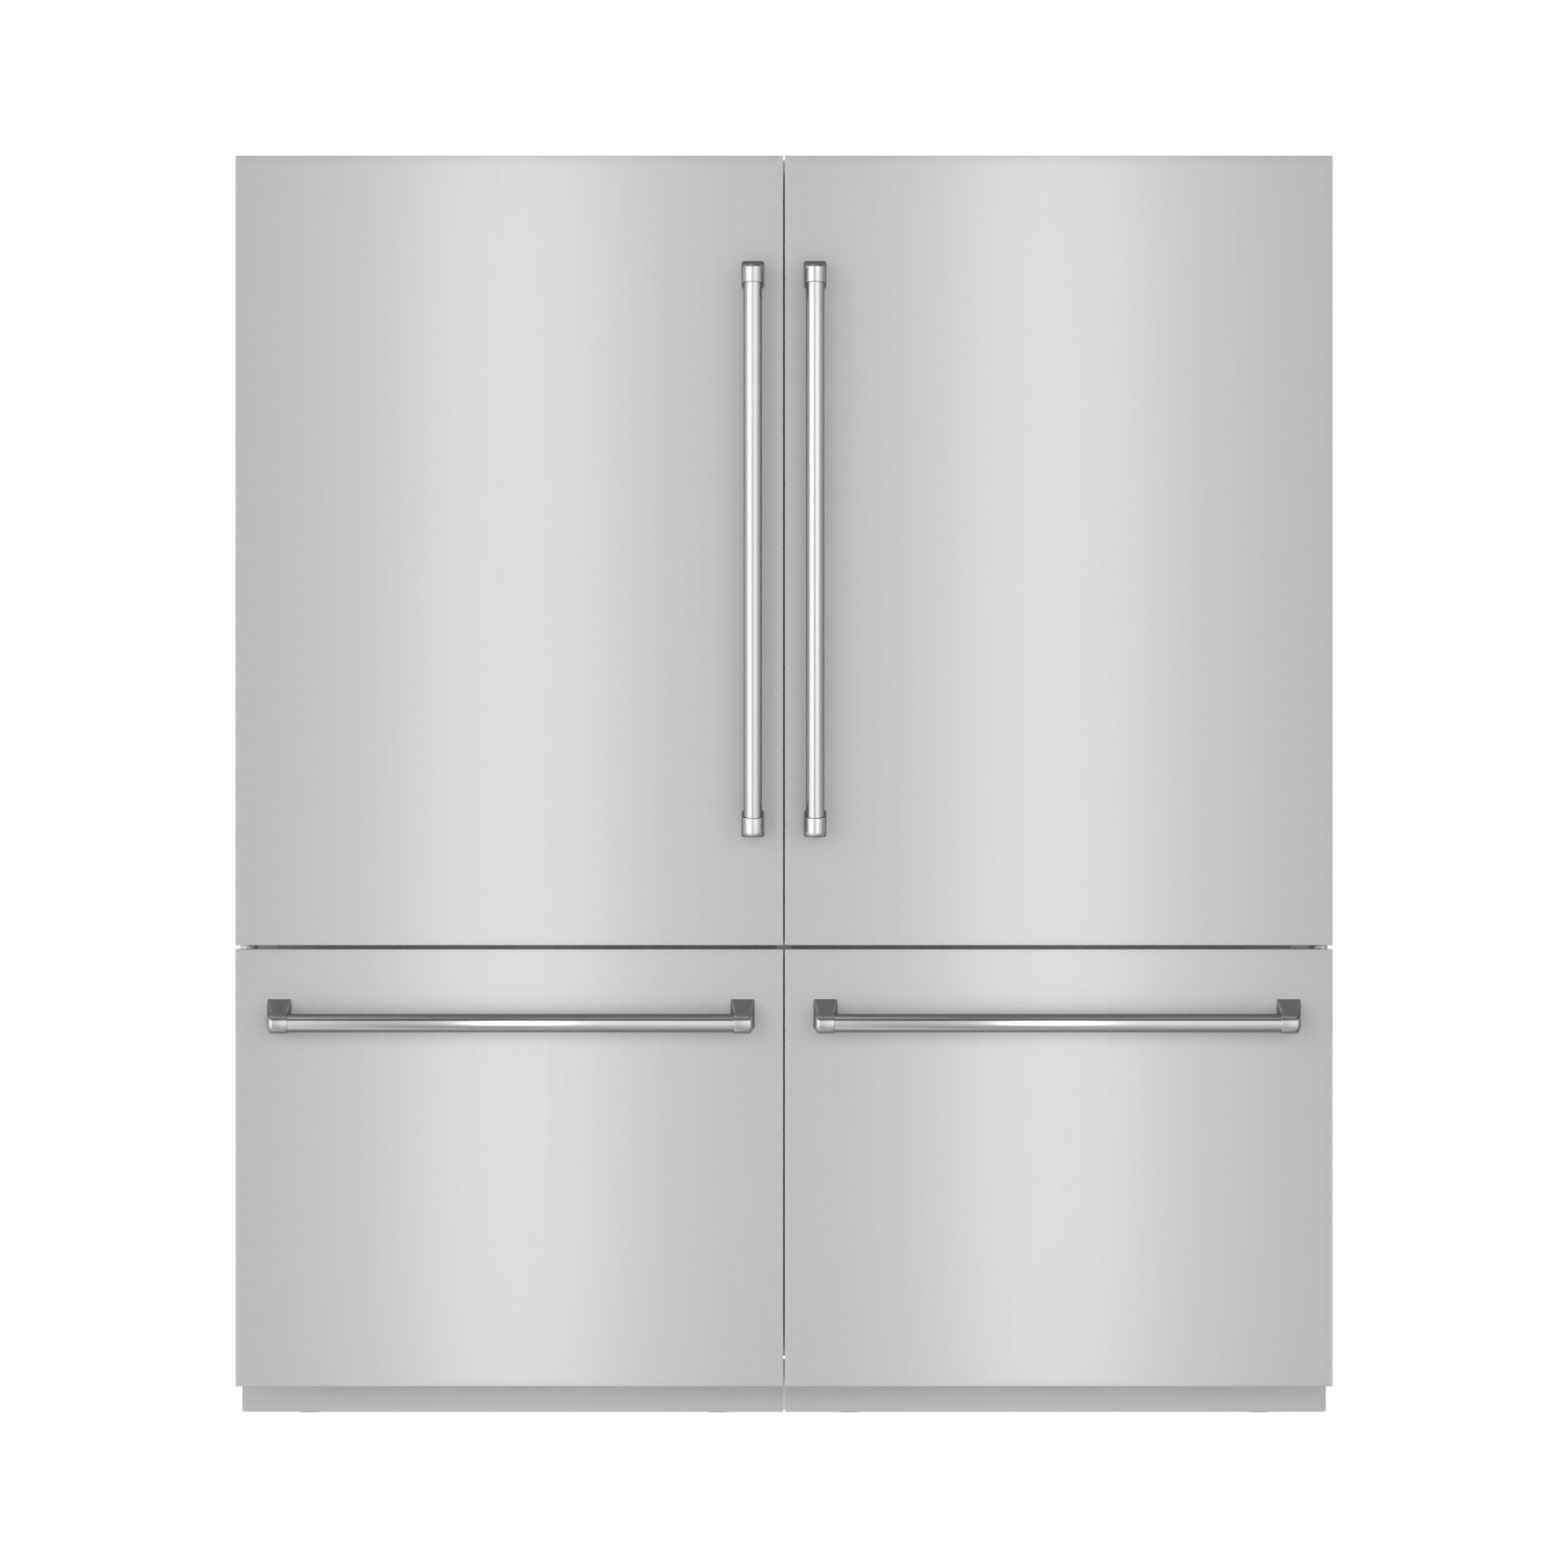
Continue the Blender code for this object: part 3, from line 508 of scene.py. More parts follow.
# ---- Joining trims -------------------------------------------
# Zinc plated strips behind the narrow gap between the two units tie them together at the front, so
# nothing shows through it. Rails along the top of each unit stiffen the front edge of its case.

def shades(colour, swing):
    """A darker and a lighter neighbour of a colour."""
    return [(*np.clip(np.array(colour) + sign * swing, 0, 1).tolist(), 1.0) for sign in (-1, 1)]


def mottled(name, colour, roughness, swing=0.02, grain_size=0.004, relief=0.06, **more):
    """Paint or plated metal: fine orange-peel relief, and a faint cloudiness in tone and gloss."""
    made = Finish(bpy.data.materials.new(name))
    fine = grain(made, (grain_size,) * 3)
    cloud = grain(made, (0.12,) * 3, seed=2.0)
    tone = fine * 0.45 + cloud * 0.55
    made.set(base_color=made.mixed(tone, *shades(colour, swing)), **more)
    made.set(roughness=(roughness - 0.05) + cloud * 0.10, normal=bumped(made, fine, relief, 0.0003))
    return made


zinc_look = {"roughness": 0.36, "swing": 0.05, "grain_size": 0.006, "metallic": 0.9}
zinc = mottled("zinc_plate", (0.62, 0.63, 0.64), **zinc_look)
case_low, case_high = corners_of("case")
strip_y = case_low[1] - 0.0006
trim_boxes = [
    ((-0.013, strip_y - 0.0018, case_low[2] + 0.003), (0.013, strip_y, case_high[2] - 0.002)),
    ((-0.0012, strip_y - 0.020, case_low[2] + 0.003), (0.0012, strip_y - 0.001, case_high[2] - 0.002)),
    ((-0.012, kick_low[1] + 0.0022, 0.008), (0.012, kick_low[1] + 0.0034, case_low[2] - 0.003)),
    ((-0.007, strip_y - 0.0012, case_high[2] - 0.001), (0.007, strip_y, case_high[2] + 0.0175)),
]
trims = [slab(start, end, 1, edge=0.0004, corner=0.0006) for start, end in trim_boxes]
piece("joining_trims", trims, zinc, "cabinet")

hinge_low, hinge_high = corners_of("top_hinge")
rail_low = (case_low[0] + 0.0025, case_low[1] + 0.0024, case_high[2] + 0.0004)
rail_high = (hinge_low[0] - 0.004, case_low[1] + 0.036, case_high[2] + 0.0182)
rail_depth = rail_high[2] - rail_low[2]
rail_profile = [
    [(0.0012, 0.0), (0.0, 0.0)], bend(0.0015, rail_depth - 0.0015, 0.0015, 180, 90),
    [(0.004, rail_depth), (0.004, rail_depth - 0.0012), (0.0012, rail_depth - 0.0012)],
]
rail = surface(sleeve(rail_low, rail_high, 2, rail_profile, corner=0.002), ends="joined")
web_low = (rail_low[0] + 0.002, rail_low[1] + 0.002, rail_low[2])
web_high = (rail_high[0] - 0.002, rail_high[1] - 0.002, rail_low[2] + 0.0014)
rail_web = slab(web_low, web_high, 2, edge=0.0004, corner=0.002)
pair("top_rail", [rail, rail_web], zinc, "cabinet")


# ---- Hinges --------------------------------------------------
# Plated steel straps, bolted to the case over and under each door, carry its two pins. A moulded
# cover, screwed down, hides the top strap.

def moulded(name, colour, roughness, grain_size=0.0016, relief=0.05, **more):
    """Moulded plastic: a fine etched texture, and a slow drift in its gloss and its shade."""
    made = Finish(bpy.data.materials.new(name))
    etched = grain(made, (grain_size,) * 3, detail=2.0)
    drift = grain(made, (0.18,) * 3, seed=5.0)
    made.set(base_color=made.mixed(drift, *shades(colour, 0.012)), **more)
    made.set(roughness=(roughness - 0.04) + drift * 0.08, normal=bumped(made, etched, relief, 0.0003))
    return made


def screw(place, axis, outwards, radius=0.0042):
    """A pan-head screw: an arc from its rim to a dished recess, turned about its axis."""
    height = radius * 0.55
    profile = np.array([
        (radius * 0.98, 0.0), (radius, height * 0.35), (radius * 0.86, height * 0.8),
        (radius * 0.55, height), (radius * 0.42, height * 0.98), (radius * 0.30, height * 0.45),
    ])
    profile[:, 1] = profile[:, 1] * outwards
    return turned(profile, place, axis, steps=20)


def dress(nodes, finish):
    """Puts a finish on the solids of both units that stay as they are."""
    for label in ("left", "right"):
        for node in nodes:
            bpy.data.objects[f"{label}_{node}"].material_slots[0].material = finish.owner


dress(["top_hinge", "bottom_hinge"], zinc)
cover_plastic = moulded("cover_plastic", (0.33, 0.335, 0.34), roughness=0.48)
cover_low = (hinge_low[0] - 0.001, case_low[1] + 0.010, hinge_high[2] + 0.0006)
cover_high = (hinge_high[0] + 0.0015, hinge_high[1] + 0.002, case_high[2] + 0.0185)
cover = slab(cover_low, cover_high, 2, edge=0.004, corner=0.009)
rib_low = (cover_low[0] + 0.012, cover_low[1] + 0.016, cover_high[2] - 0.002)
rib_high = (cover_high[0] - 0.012, cover_high[1] - 0.030, cover_high[2] + 0.0008)
cover_rib = slab(rib_low, rib_high, 2, edge=0.0004, corner=0.006)
cover_screw = screw((np.mean([cover_low[0], cover_high[0]]), cover_high[1] - 0.014, cover_high[2]), 2, 1)
pair("hinge_cover", [cover, cover_rib], cover_plastic, "cabinet")
pair("hinge_cover_screw", [cover_screw], zinc, "cabinet")


# ---- Cases ---------------------------------------------------
# The case is a painted steel wrapper round the foamed body. A back panel with pressed ribs is
# screwed on over it, and two cleats on its top take the anti-tip bracket.

paint_look = {"roughness": 0.46, "swing": 0.015, "grain_size": 0.0022, "relief": 0.10}
case_paint = mottled("case_paint", (0.33, 0.335, 0.345), **paint_look)
foam_look = {"roughness": 0.85, "swing": 0.05, "grain_size": 0.003, "relief": 0.35}
foam = mottled("rigid_foam", (0.82, 0.75, 0.56), **foam_look)
dress(["case"], case_paint)
dress(["insulation"], foam)
notch_top = 0.285
back = case_high[1]
panel_low = (case_low[0] + 0.012, back + 0.0003, notch_top + 0.010)
panel_high = (case_high[0] - 0.012, back + 0.0015, case_high[2] - 0.012)
back_shapes = [slab(panel_low, panel_high, 1, edge=0.0004, corner=0.004)]
for part in np.linspace(0.12, 0.88, 5):
    middle = panel_low[0] + part * (panel_high[0] - panel_low[0])
    rib_low = (middle - 0.022, panel_high[1] - 0.0006, panel_low[2] + 0.09)
    rib_high = (middle + 0.022, panel_high[1] + 0.0022, panel_high[2] - 0.09)
    back_shapes.append(slab(rib_low, rib_high, 1, edge=0.0013, corner=0.020))
pair("back_panel", back_shapes, case_paint, "cabinet")
back_screws = []
for height in np.linspace(panel_low[2] + 0.02, panel_high[2] - 0.02, 7):
    for edge_x in (panel_low[0] + 0.012, panel_high[0] - 0.012):
        back_screws.append(screw((edge_x, panel_high[1] - 0.0002, height), 1, 1))
pair("back_screws", back_screws, zinc, "cabinet")
cleats = []
for start in (0.16, 0.62):
    cleat_low = (start, back - 0.070, case_high[2] + 0.0003)
    cleat_high = (start + 0.12, back - 0.012, case_high[2] + 0.0023)
    cleats.append(slab(cleat_low, cleat_high, 2, edge=0.0006, corner=0.006))
    for place in (0.02, 0.10):
        cleats.append(screw((start + place, back - 0.040, case_high[2] + 0.0022), 2, 1))
pair("top_cleats", cleats, zinc, "cabinet")


# ---- Liners --------------------------------------------------
# A white moulding lines each compartment, with a flat flange at its front that the door seals on.
# In the upper one the corners are well rounded and a thin lip turns out over the flange.

liner_look = {"roughness": 0.30, "grain_size": 0.0020, "relief": 0.03}
liner_plastic = moulded("liner_plastic", (0.86, 0.87, 0.87), **liner_look)
dress(["liner"], liner_plastic)
cavity_low = (0.056, case_low[1], 0.840)
cavity_high = (0.846, 0.283, 2.020)
cavity_depth = cavity_high[1] - cavity_low[1]
wall, round_over, mouth_lip = 0.0016, 0.018, 0.0048
lining_profile = [
    [(0.0003, 0.0003), (0.0003, cavity_depth + 0.0003)],
    [(-mouth_lip, cavity_depth + 0.0003), (-mouth_lip, cavity_depth + 0.0010)],
    bend(wall + 0.0012, cavity_depth + 0.0002, 0.0012, 90, 180),
    bend(wall + round_over, wall + round_over, round_over, 180, 270, 6),
]
lining = surface(sleeve(cavity_low, cavity_high, 1, lining_profile, corner=0.019, mouth=-1, steps=8))
pair("fridge_lining", [lining], liner_plastic, "cabinet")

# A cover over the air duct runs up the back wall, with four rows of cold air slots, drawn as thin
# near-black slabs on its face: painted shade where the openings would be.
duct_low = (0.330, 0.2776, 1.062)
duct_high = (0.572, 0.2812, 2.000)
duct = [slab(duct_low, duct_high, 1, edge=0.0014, corner=0.014)]
for height in (1.20, 1.44, 1.66, 1.90):
    for start in np.linspace(0.352, 0.518, 6):
        slot_low = (start, duct_low[1] - 0.0004, height)
        slot_high = (start + 0.022, duct_low[1] + 0.0006, height + 0.0045)
        duct.append(slab(slot_low, slot_high, 1, edge=0.0003, corner=0.002))
pair("duct_cover", duct[:1], liner_plastic, "cabinet")
# One near-black plastic: painted shade on the duct's slots, and the condenser fan's own dark colour.
slot_shade = moulded("slot_shade", (0.10, 0.10, 0.105), roughness=0.6)
pair("duct_slots", duct[1:], slot_shade, "cabinet")

# A frosted lens covers the light in the ceiling.
lens_plastic = moulded("lens_plastic", (0.90, 0.92, 0.93), roughness=0.42, grain_size=0.003, relief=0.15)
lens = slab((0.330, -0.120, 2.0143), (0.572, -0.020, 2.0187), 2, edge=0.0016, corner=0.012)
pair("ceiling_light_lens", [lens], lens_plastic, "cabinet")


# ---- Shelves -------------------------------------------------
# Each shelf is a tempered glass pane in a moulded frame: a deep trim in front, and a low upstand
# behind that keeps food off the back wall. It rests on the liner's ledges.

glass = Finish(bpy.data.materials.new("shelf_pane"))
smudge = grain(glass, (0.09,) * 3, detail=3.0)
glass.set(base_color=glass.mixed(smudge, (0.86, 0.95, 0.92, 1), (0.92, 0.98, 0.96, 1)))
glass.set(roughness=0.02 + smudge * 0.06, transmission_weight=0.85, ior=1.50)
for shelf in ("crisper_shelf", "upper_shelf"):
    low, high = corners_of(shelf)
    pane = slab(low, high, 2, edge=0.0012, corner=0.006)
    pair(shelf + "_pane", [pane], glass, "cabinet", [shelf])
    trim = slab((low[0] + 0.002, low[1] - 0.0035, low[2] - 0.0050),
                (high[0] - 0.002, low[1] + 0.0135, low[2] - 0.0002), 0, edge=0.0015, corner=0.002)
    lip = slab((low[0] + 0.002, low[1] - 0.0035, low[2] - 0.0040),
               (high[0] - 0.002, low[1] - 0.0003, high[2] + 0.0030), 0, edge=0.0010, corner=0.0014)
    upstand = slab((low[0] + 0.004, high[1] - 0.006, high[2] + 0.0002),
                   (high[0] - 0.004, high[1] - 0.003, high[2] + 0.0050), 0, edge=0.0008, corner=0.0012)
    pair(shelf + "_trims", [trim, lip, upstand], liner_plastic, "cabinet")


# ---- Crispers ------------------------------------------------
# A drawer of clear plastic under the lowest shelf: thin drafted walls with a rolled rim, and a
# frosted front with a finger lip. It slides out on the liner's floor.

def tray(low, high, axis, wall, corner, rim=0.0, draft=0.02, mouth=1, base=0.006):
    """An open box: its outer wall, a round rim that may turn outwards, its inner wall and its floor.

    The inner corners at the floor are quarter circles, and both walls lean out towards the mouth.
    """
    depth = high[axis] - low[axis]
    top = depth - wall / 2
    profile = [
        bend(rim + base, base, base, -90, -180),
        [(rim, depth - 3.2 * wall), (0.0004, depth - 2.6 * wall)],
        bend(wall / 2 + 0.0001, top, wall / 2, 180, 0, 6),
    ]
    if rim:
        profile[-1] = bend(wall / 2, top, wall / 2, 180, 90, 3)
        profile.append(bend(rim + wall / 2, top, wall / 2, 90, 0, 3))
    profile.append(bend(rim + wall + base, wall + base, base, 180, 270))
    return surface(sleeve(low, high, axis, profile, corner, mouth, draft))


clear = Finish(bpy.data.materials.new("clear_moulding"))
haze = grain(clear, (0.05,) * 3, detail=3.0)
clear.set(base_color=clear.mixed(haze, (0.90, 0.94, 0.96, 1), (0.95, 0.98, 0.99, 1)))
clear.set(roughness=0.06 + haze * 0.10, transmission_weight=0.80, ior=1.46)
clear.set(normal=bumped(clear, haze, 0.05, 0.0004))
frosted = moulded("frosted_front", (0.84, 0.87, 0.89), roughness=0.42, grain_size=0.0012, relief=0.10)
frosted.set(transmission_weight=0.35)
low, high = corners_of("crisper_drawer")
box_low = (low[0], low[1] + 0.006, low[2])
basket = tray(box_low, high, 2, wall=0.003, corner=0.016, rim=0.0035, draft=0.008)
pair("crisper_box", [basket], clear, "crisper", ["crisper_drawer"])
front_plate = slab(low, (high[0], low[1] + 0.0055, high[2]), 1, edge=0.0022, corner=0.012)
finger_lip = slab((low[0] + 0.10, low[1] - 0.0030, high[2] - 0.026),
                  (high[0] - 0.10, low[1] + 0.0010, high[2] - 0.010), 0, edge=0.0015, corner=0.0018)
pair("crisper_front", [front_plate, finger_lip], frosted, "crisper")


# ---- Door backs ----------------------------------------------
# The inside of each door is a white moulding over the foam, with a raised rim that the bins hook
# into. The drawer's back is a plain one of the same plastic, and both are clipped into the skins.

def ring(low, high, axis, profile, corner, steps=6):
    """A closed profile carried round a rounded rectangle."""
    return surface(sleeve(low, high, axis, profile, corner=corner, steps=steps), ends="joined")


def stepped_back(front, low_z, high_z):
    """The core fills the skin up to its hem, and a narrower part stands out behind the skin."""
    skin_low, skin_high = corners_of(f"{front}_panel")
    inside, hem_y = 0.0015, skin_high[1] - sheet - 0.0003
    wide = np.array((skin_low[0] + inside, skin_high[0] - inside,
                     skin_low[2] + inside, skin_high[2] - inside))
    narrow = np.array((core_u[0], core_u[1], low_z, high_z))
    curve = bend(core_edge, core_edge, core_edge, 180, 270)
    boxes = [wide, wide, narrow] + [narrow + inset * np.array((1, -1, 1, -1)) for inset in curve[:, 0]]
    levels = [skin_low[1] + inside, hem_y, hem_y + 0.0001, *(core_back - curve[:, 1])]
    return surface(rows_of(boxes, 0.004, levels, 1))


core_high = corners_of("door_core")[1]
core_u, core_back, core_edge = (0.006, 0.9027), -0.218, 0.004
door_back = stepped_back("door", 0.7905, 2.0645)
dyke_low = (0.072, core_back - 0.0015, 0.858)
dyke_high = (0.830, core_high[1], 2.002)
dyke_depth = dyke_high[1] - dyke_low[1]
dyke_profile = [
    [(0.0, 0.0), (0.0, 0.004)],
    bend(0.012, dyke_depth - 0.009, 0.009, 175, 90, 5),
    bend(0.026, dyke_depth - 0.0085, 0.0085, 90, 5, 5),
    [(0.035, 0.003), (0.035, 0.0)],
]
dyke = ring(dyke_low, dyke_high, 1, dyke_profile, corner=0.034)
pair("door_lining", [door_back, dyke], liner_plastic, "door", ["door_core"])
drawer_back = stepped_back("drawer", 0.104, 0.762)
pair("drawer_lining", [drawer_back], liner_plastic, "drawer", ["drawer_core"])


# ---- Gaskets -------------------------------------------------
# A magnetic seal of soft grey vinyl runs round each door and drawer back: a dart pressed into a
# groove, a pleated bellows and a flat bulb that holds the magnet and meets the liner's flange.

vinyl = moulded("seal_vinyl", (0.28, 0.29, 0.30), roughness=0.62, grain_size=0.0012, relief=0.10)
seal_profile = [
    [(0.0050, 0.0), (0.0130, 0.0), (0.0138, 0.0016), (0.0125, 0.0028), (0.0142, 0.0042)],
    [(0.0128, 0.0055), (0.0170, 0.0062)],
    bend(0.0168, 0.0090, 0.0012, -60, 60, 4),
    bend(0.0160, 0.0104, 0.0014, 30, 90, 2),
    bend(0.0020, 0.0104, 0.0014, 90, 180, 3),
    bend(0.0014, 0.0080, 0.0012, 180, 250, 3),
    [(0.0052, 0.0055), (0.0038, 0.0042), (0.0055, 0.0028), (0.0042, 0.0016)],
]
for front in ("door", "drawer"):
    low, high = corners_of(f"{front}_gasket")
    seal = ring(low, high, 1, seal_profile, corner=0.012)
    pair(f"{front}_seal", [seal], vinyl, front, [f"{front}_gasket"])


# ---- Door bins -----------------------------------------------
# Clear moulded bins hook on the door's rim. A plated strip stiffens the front edge of each one.

for bin_name in ("door_upper_bin", "door_lower_bin"):
    low, high = corners_of(bin_name)
    bin_box = tray(low, high, 2, wall=0.003, corner=0.014, rim=0.0, draft=0.01)
    pair(bin_name + "_box", [bin_box], clear, "door", [bin_name])
    strip = slab((low[0] + 0.016, high[1] + 0.0001, high[2] - 0.016),
                 (high[0] - 0.016, high[1] + 0.0016, high[2] - 0.003), 0, edge=0.0006, corner=0.0006)
    pair(bin_name + "_strip", [strip], zinc, "door")


# ---- Freezer drawers -----------------------------------------
# A white tub with a raised step over the machine compartment hangs in a plated frame behind each
# drawer front. Runners at its sides slide in channels that are screwed to the liner.

tub_plastic = moulded("tub_plastic", (0.83, 0.84, 0.85), roughness=0.45, grain_size=0.0014, relief=0.06)
low, high = corners_of("drawer_tub")
tub_u, tub_y, step_y, step_z = (0.090, 0.812), (low[1], high[1]), 0.090, 0.362
wall, base, rim = 0.003, 0.014, 0.0152
bottom, top = low[2], high[2]
round_down = np.linspace(0, np.pi / 2, 5)


def tub_rows(inset, floor, ledge, end):
    """The box of each row and its height, from the floor up past the ledge to the end."""
    in_bend = base * (1 - np.sin(round_down))
    heights = [*(floor + base * (1 - np.cos(round_down))), ledge, ledge + 0.0001, end]
    insets = np.array([*in_bend, 0, 0, 0]) + inset
    deep = np.array([step_y] * (len(round_down) + 1) + [tub_y[1]] * 2)
    boxes = np.stack([tub_u[0] + insets, tub_u[1] - insets, tub_y[0] + insets, deep - insets], axis=1)
    return boxes, np.array(heights)


outer, outer_z = tub_rows(0.0, bottom, step_z, top - 0.006)
inner, inner_z = tub_rows(wall, bottom + wall, step_z + wall, top - 0.0006)
brim = np.array([
    (low[0], high[0], tub_y[0], tub_y[1]), (low[0], high[0], tub_y[0], tub_y[1]),
    (low[0] + 0.001, high[0] - 0.001, tub_y[0] + 0.001, tub_y[1] - 0.001),
])
brim_z = np.array([top - 0.0045, top - 0.001, top])
boxes = np.concatenate([outer, brim, inner[::-1]])
heights = np.concatenate([outer_z, brim_z, inner_z[::-1]])
tub = surface(rows_of(boxes, 0.022, heights, 2, 6))
tub_ribs = []
for place in np.linspace(-0.15, 0.05, 5):
    for side_x in (tub_u[0] - 0.0022, tub_u[1] - 0.0002):
        rib_low = (side_x, place, bottom + 0.05)
        rib_high = (side_x + 0.0024, place + 0.006, top - 0.05)
        tub_ribs.append(slab(rib_low, rib_high, 0, edge=0.0008, corner=0.0025))
pair("freezer_tub", [tub, *tub_ribs], tub_plastic, "drawer", ["drawer_tub"])
dress(["drawer_frame", "slide_rails"], zinc)


# ---- Base, feet and glides -----------------------------------
# A folded steel base carries each unit, painted black. Two threaded levelling feet, with a lock nut
# and a swivelling pad, stand in front, and two fixed glides behind.

black_look = {"roughness": 0.42, "swing": 0.012, "grain_size": 0.003, "relief": 0.12}
black_paint = mottled("black_paint", (0.055, 0.056, 0.060), **black_look)
dress(["base_frame"], black_paint)
foot_rubber = moulded("foot_rubber", (0.06, 0.06, 0.062), roughness=0.7, grain_size=0.0012, relief=0.15)
for end in ("outer", "inner"):
    low, high = corners_of(f"{end}_foot")
    middle = ((low[0] + high[0]) / 2, (low[1] + high[1]) / 2, 0.0)
    pad_radius, stem_radius = (high[0] - low[0]) / 2, 0.0058
    pad = turned([
        bend(pad_radius - 0.0012, 0.0012, 0.0012, -90, 0, 3),
        bend(pad_radius - 0.0026, 0.0055, 0.0026, 10, 90, 4),
        [(0.012, 0.0090), (0.0085, 0.0118)],
    ], middle, 2, steps=40)
    rise = np.linspace(0.010, high[2] - 0.0006, 180)
    thread = stem_radius + 0.0003 * np.cos(rise * 2 * np.pi / 0.0018)
    stem = turned(np.stack([thread, rise], axis=1), middle, 2, steps=24)
    nut_profile = [(0.0086, 0.0660), (0.0096, 0.0668), (0.0096, 0.0722), (0.0086, 0.0730)]
    nut = turned(nut_profile, middle, 2, steps=6)
    pair(f"{end}_foot_pad", [pad], foot_rubber, "cabinet", [f"{end}_foot"])
    pair(f"{end}_foot_stem", [stem, nut], zinc, "cabinet")


# ---- Machine compartment -------------------------------------
# Behind, under the step: a black compressor shell with a welded seam, bolted down on rubber, a fan
# in its shroud, a finned condenser with a bent tube, a drain pan, a drier and the copper pipework.

def tube(points, radius, sides=12):
    """A pipe along a path of points: a circle across the path's direction at each one.

    The circle's first diameter lies across both the direction and the y axis, so it never twists.
    """
    points = np.asarray(points, float)
    run = np.gradient(points, axis=0)
    run /= np.linalg.norm(run, axis=1)[:, None]
    first = np.cross(run, (0.0, 1.0, 0.0))
    first /= np.linalg.norm(first, axis=1)[:, None]
    second = np.cross(run, first)
    angle = np.arange(sides) * 2 * np.pi / sides
    circle = first[:, None] * np.cos(angle)[:, None] + second[:, None] * np.sin(angle)[:, None]
    return surface(points[:, None] + radius * circle)


def smooth_path(knots, steps=12):
    """A path through the knots: cubic pieces whose slopes are half the step between neighbours."""
    knots = np.asarray(knots, float)
    slope = np.gradient(knots, axis=0)
    part = np.linspace(0, 1, steps, endpoint=False)[:, None, None]
    start, end = knots[:-1], knots[1:]
    path = (start * (1 + 2 * part) * (1 - part) ** 2 + slope[:-1] * part * (1 - part) ** 2
            + end * (3 - 2 * part) * part ** 2 + slope[1:] * (part - 1) * part ** 2)
    return np.concatenate([path.transpose(1, 0, 2).reshape(-1, 3), knots[-1:]])


low, high = corners_of("compressor")
shell_place = np.array(((low[0] + high[0]) / 2, (low[1] + high[1]) / 2, 0.0))
shell_radius, flare, dome = 0.0735, (high[0] - low[0]) / 2, 0.055
seam = (low[2] + high[2]) / 2
shell = turned([
    bend(shell_radius - dome, low[2] + dome, dome, -88, 0, 12),
    [(shell_radius, seam - 0.006), (flare, seam - 0.0035)],
    bend(flare - 0.0015, seam, 0.0015, -60, 60, 3),
    [(flare, seam + 0.0035), (shell_radius, seam + 0.006)],
    bend(shell_radius - dome, high[2] - dome, dome, 0, 88, 12),
], shell_place, 2, steps=64)
pair("compressor_shell", [shell], black_paint, "cabinet", ["compressor"])
terminal_low = shell_place + (-0.022, flare - 0.012, 0.150)
terminal = slab(terminal_low, shell_place + (0.030, flare + 0.006, 0.200), 1, edge=0.003, corner=0.006)
pair("terminal_cover", [terminal], cover_plastic, "cabinet")
mount_half, mount_low, mount_high = np.array((0.083, 0.066, 0.0)), 0.0655, 0.0680
mount = slab(shell_place - mount_half + (0, 0, mount_low), shell_place + mount_half + (0, 0, mount_high),
             2, edge=0.0006, corner=0.014)
pair("compressor_mount", [mount], black_paint, "cabinet")
grommet_profile = [(0.0085, 0.0562), (0.0105, 0.0575), (0.0105, 0.0640), (0.0088, 0.0655),
                   (0.0088, 0.0680), (0.0100, 0.0690), (0.0100, 0.0715), (0.0080, 0.0725)]
bolt_profile = [(0.0048, 0.0720), (0.0056, 0.0726), (0.0056, 0.0760), (0.0048, 0.0766)]
mount_corners = [shell_place + (x, y, 0) for x in (-0.070, 0.070) for y in (-0.053, 0.053)]
pair("compressor_grommets", [turned(grommet_profile, corner, 2, steps=28) for corner in mount_corners],
     foot_rubber, "cabinet")
pair("compressor_bolts", [turned(bolt_profile, corner, 2, steps=6) for corner in mount_corners],
     zinc, "cabinet")

metal = {"swing": 0.04, "grain_size": 0.008, "metallic": 1.0}
aluminium = mottled("fin_aluminium", (0.72, 0.73, 0.74), roughness=0.32, **metal)
copper_look = {"roughness": 0.28, "swing": 0.06, "grain_size": 0.010, "metallic": 1.0}
copper = mottled("copper_pipe", (0.72, 0.38, 0.24), **copper_look)
fins = []
for x in np.linspace(0.090, 0.300, 30):
    fins.append(slab((x, 0.195, 0.085), (x + 0.0008, 0.325, 0.245), 0, edge=0.0002, corner=0.003))
pair("condenser_fins", fins, aluminium, "cabinet")
end_plates = []
for x in (0.0880, 0.3010):
    end_plates.append(slab((x, 0.191, 0.0588), (x + 0.0012, 0.329, 0.2490), 0, edge=0.0003, corner=0.003))
pair("condenser_end_plates", end_plates, zinc, "cabinet")

# The coil runs to and fro through the fins: straight lengths, joined by half circles at their ends.
coil_radius, coil_start, coil_end, turn_radius = 0.0045, 0.074, 0.316, 0.020
coil_rows = (0.225, 0.260, 0.295)
coil = []
for row_y in coil_rows:
    for height in (0.105, 0.145, 0.185, 0.225):
        along = [(x, row_y, height) for x in (coil_start, (coil_start + coil_end) / 2, coil_end)]
        coil.append(tube(along, radius=coil_radius))
for row_y in coil_rows:
    for height, end_x, way in ((0.105, coil_end, 1), (0.145, coil_start, -1), (0.185, coil_end, 1)):
        sweep = np.linspace(-np.pi / 2, np.pi / 2, 9)
        turn_x = end_x + way * turn_radius * np.cos(sweep)
        turn_z = height + turn_radius + turn_radius * np.sin(sweep)
        hair_pin = np.stack([turn_x, np.full(9, row_y), turn_z], axis=1)
        coil.append(tube(hair_pin, radius=coil_radius))
pair("condenser_coil", coil, copper, "cabinet")

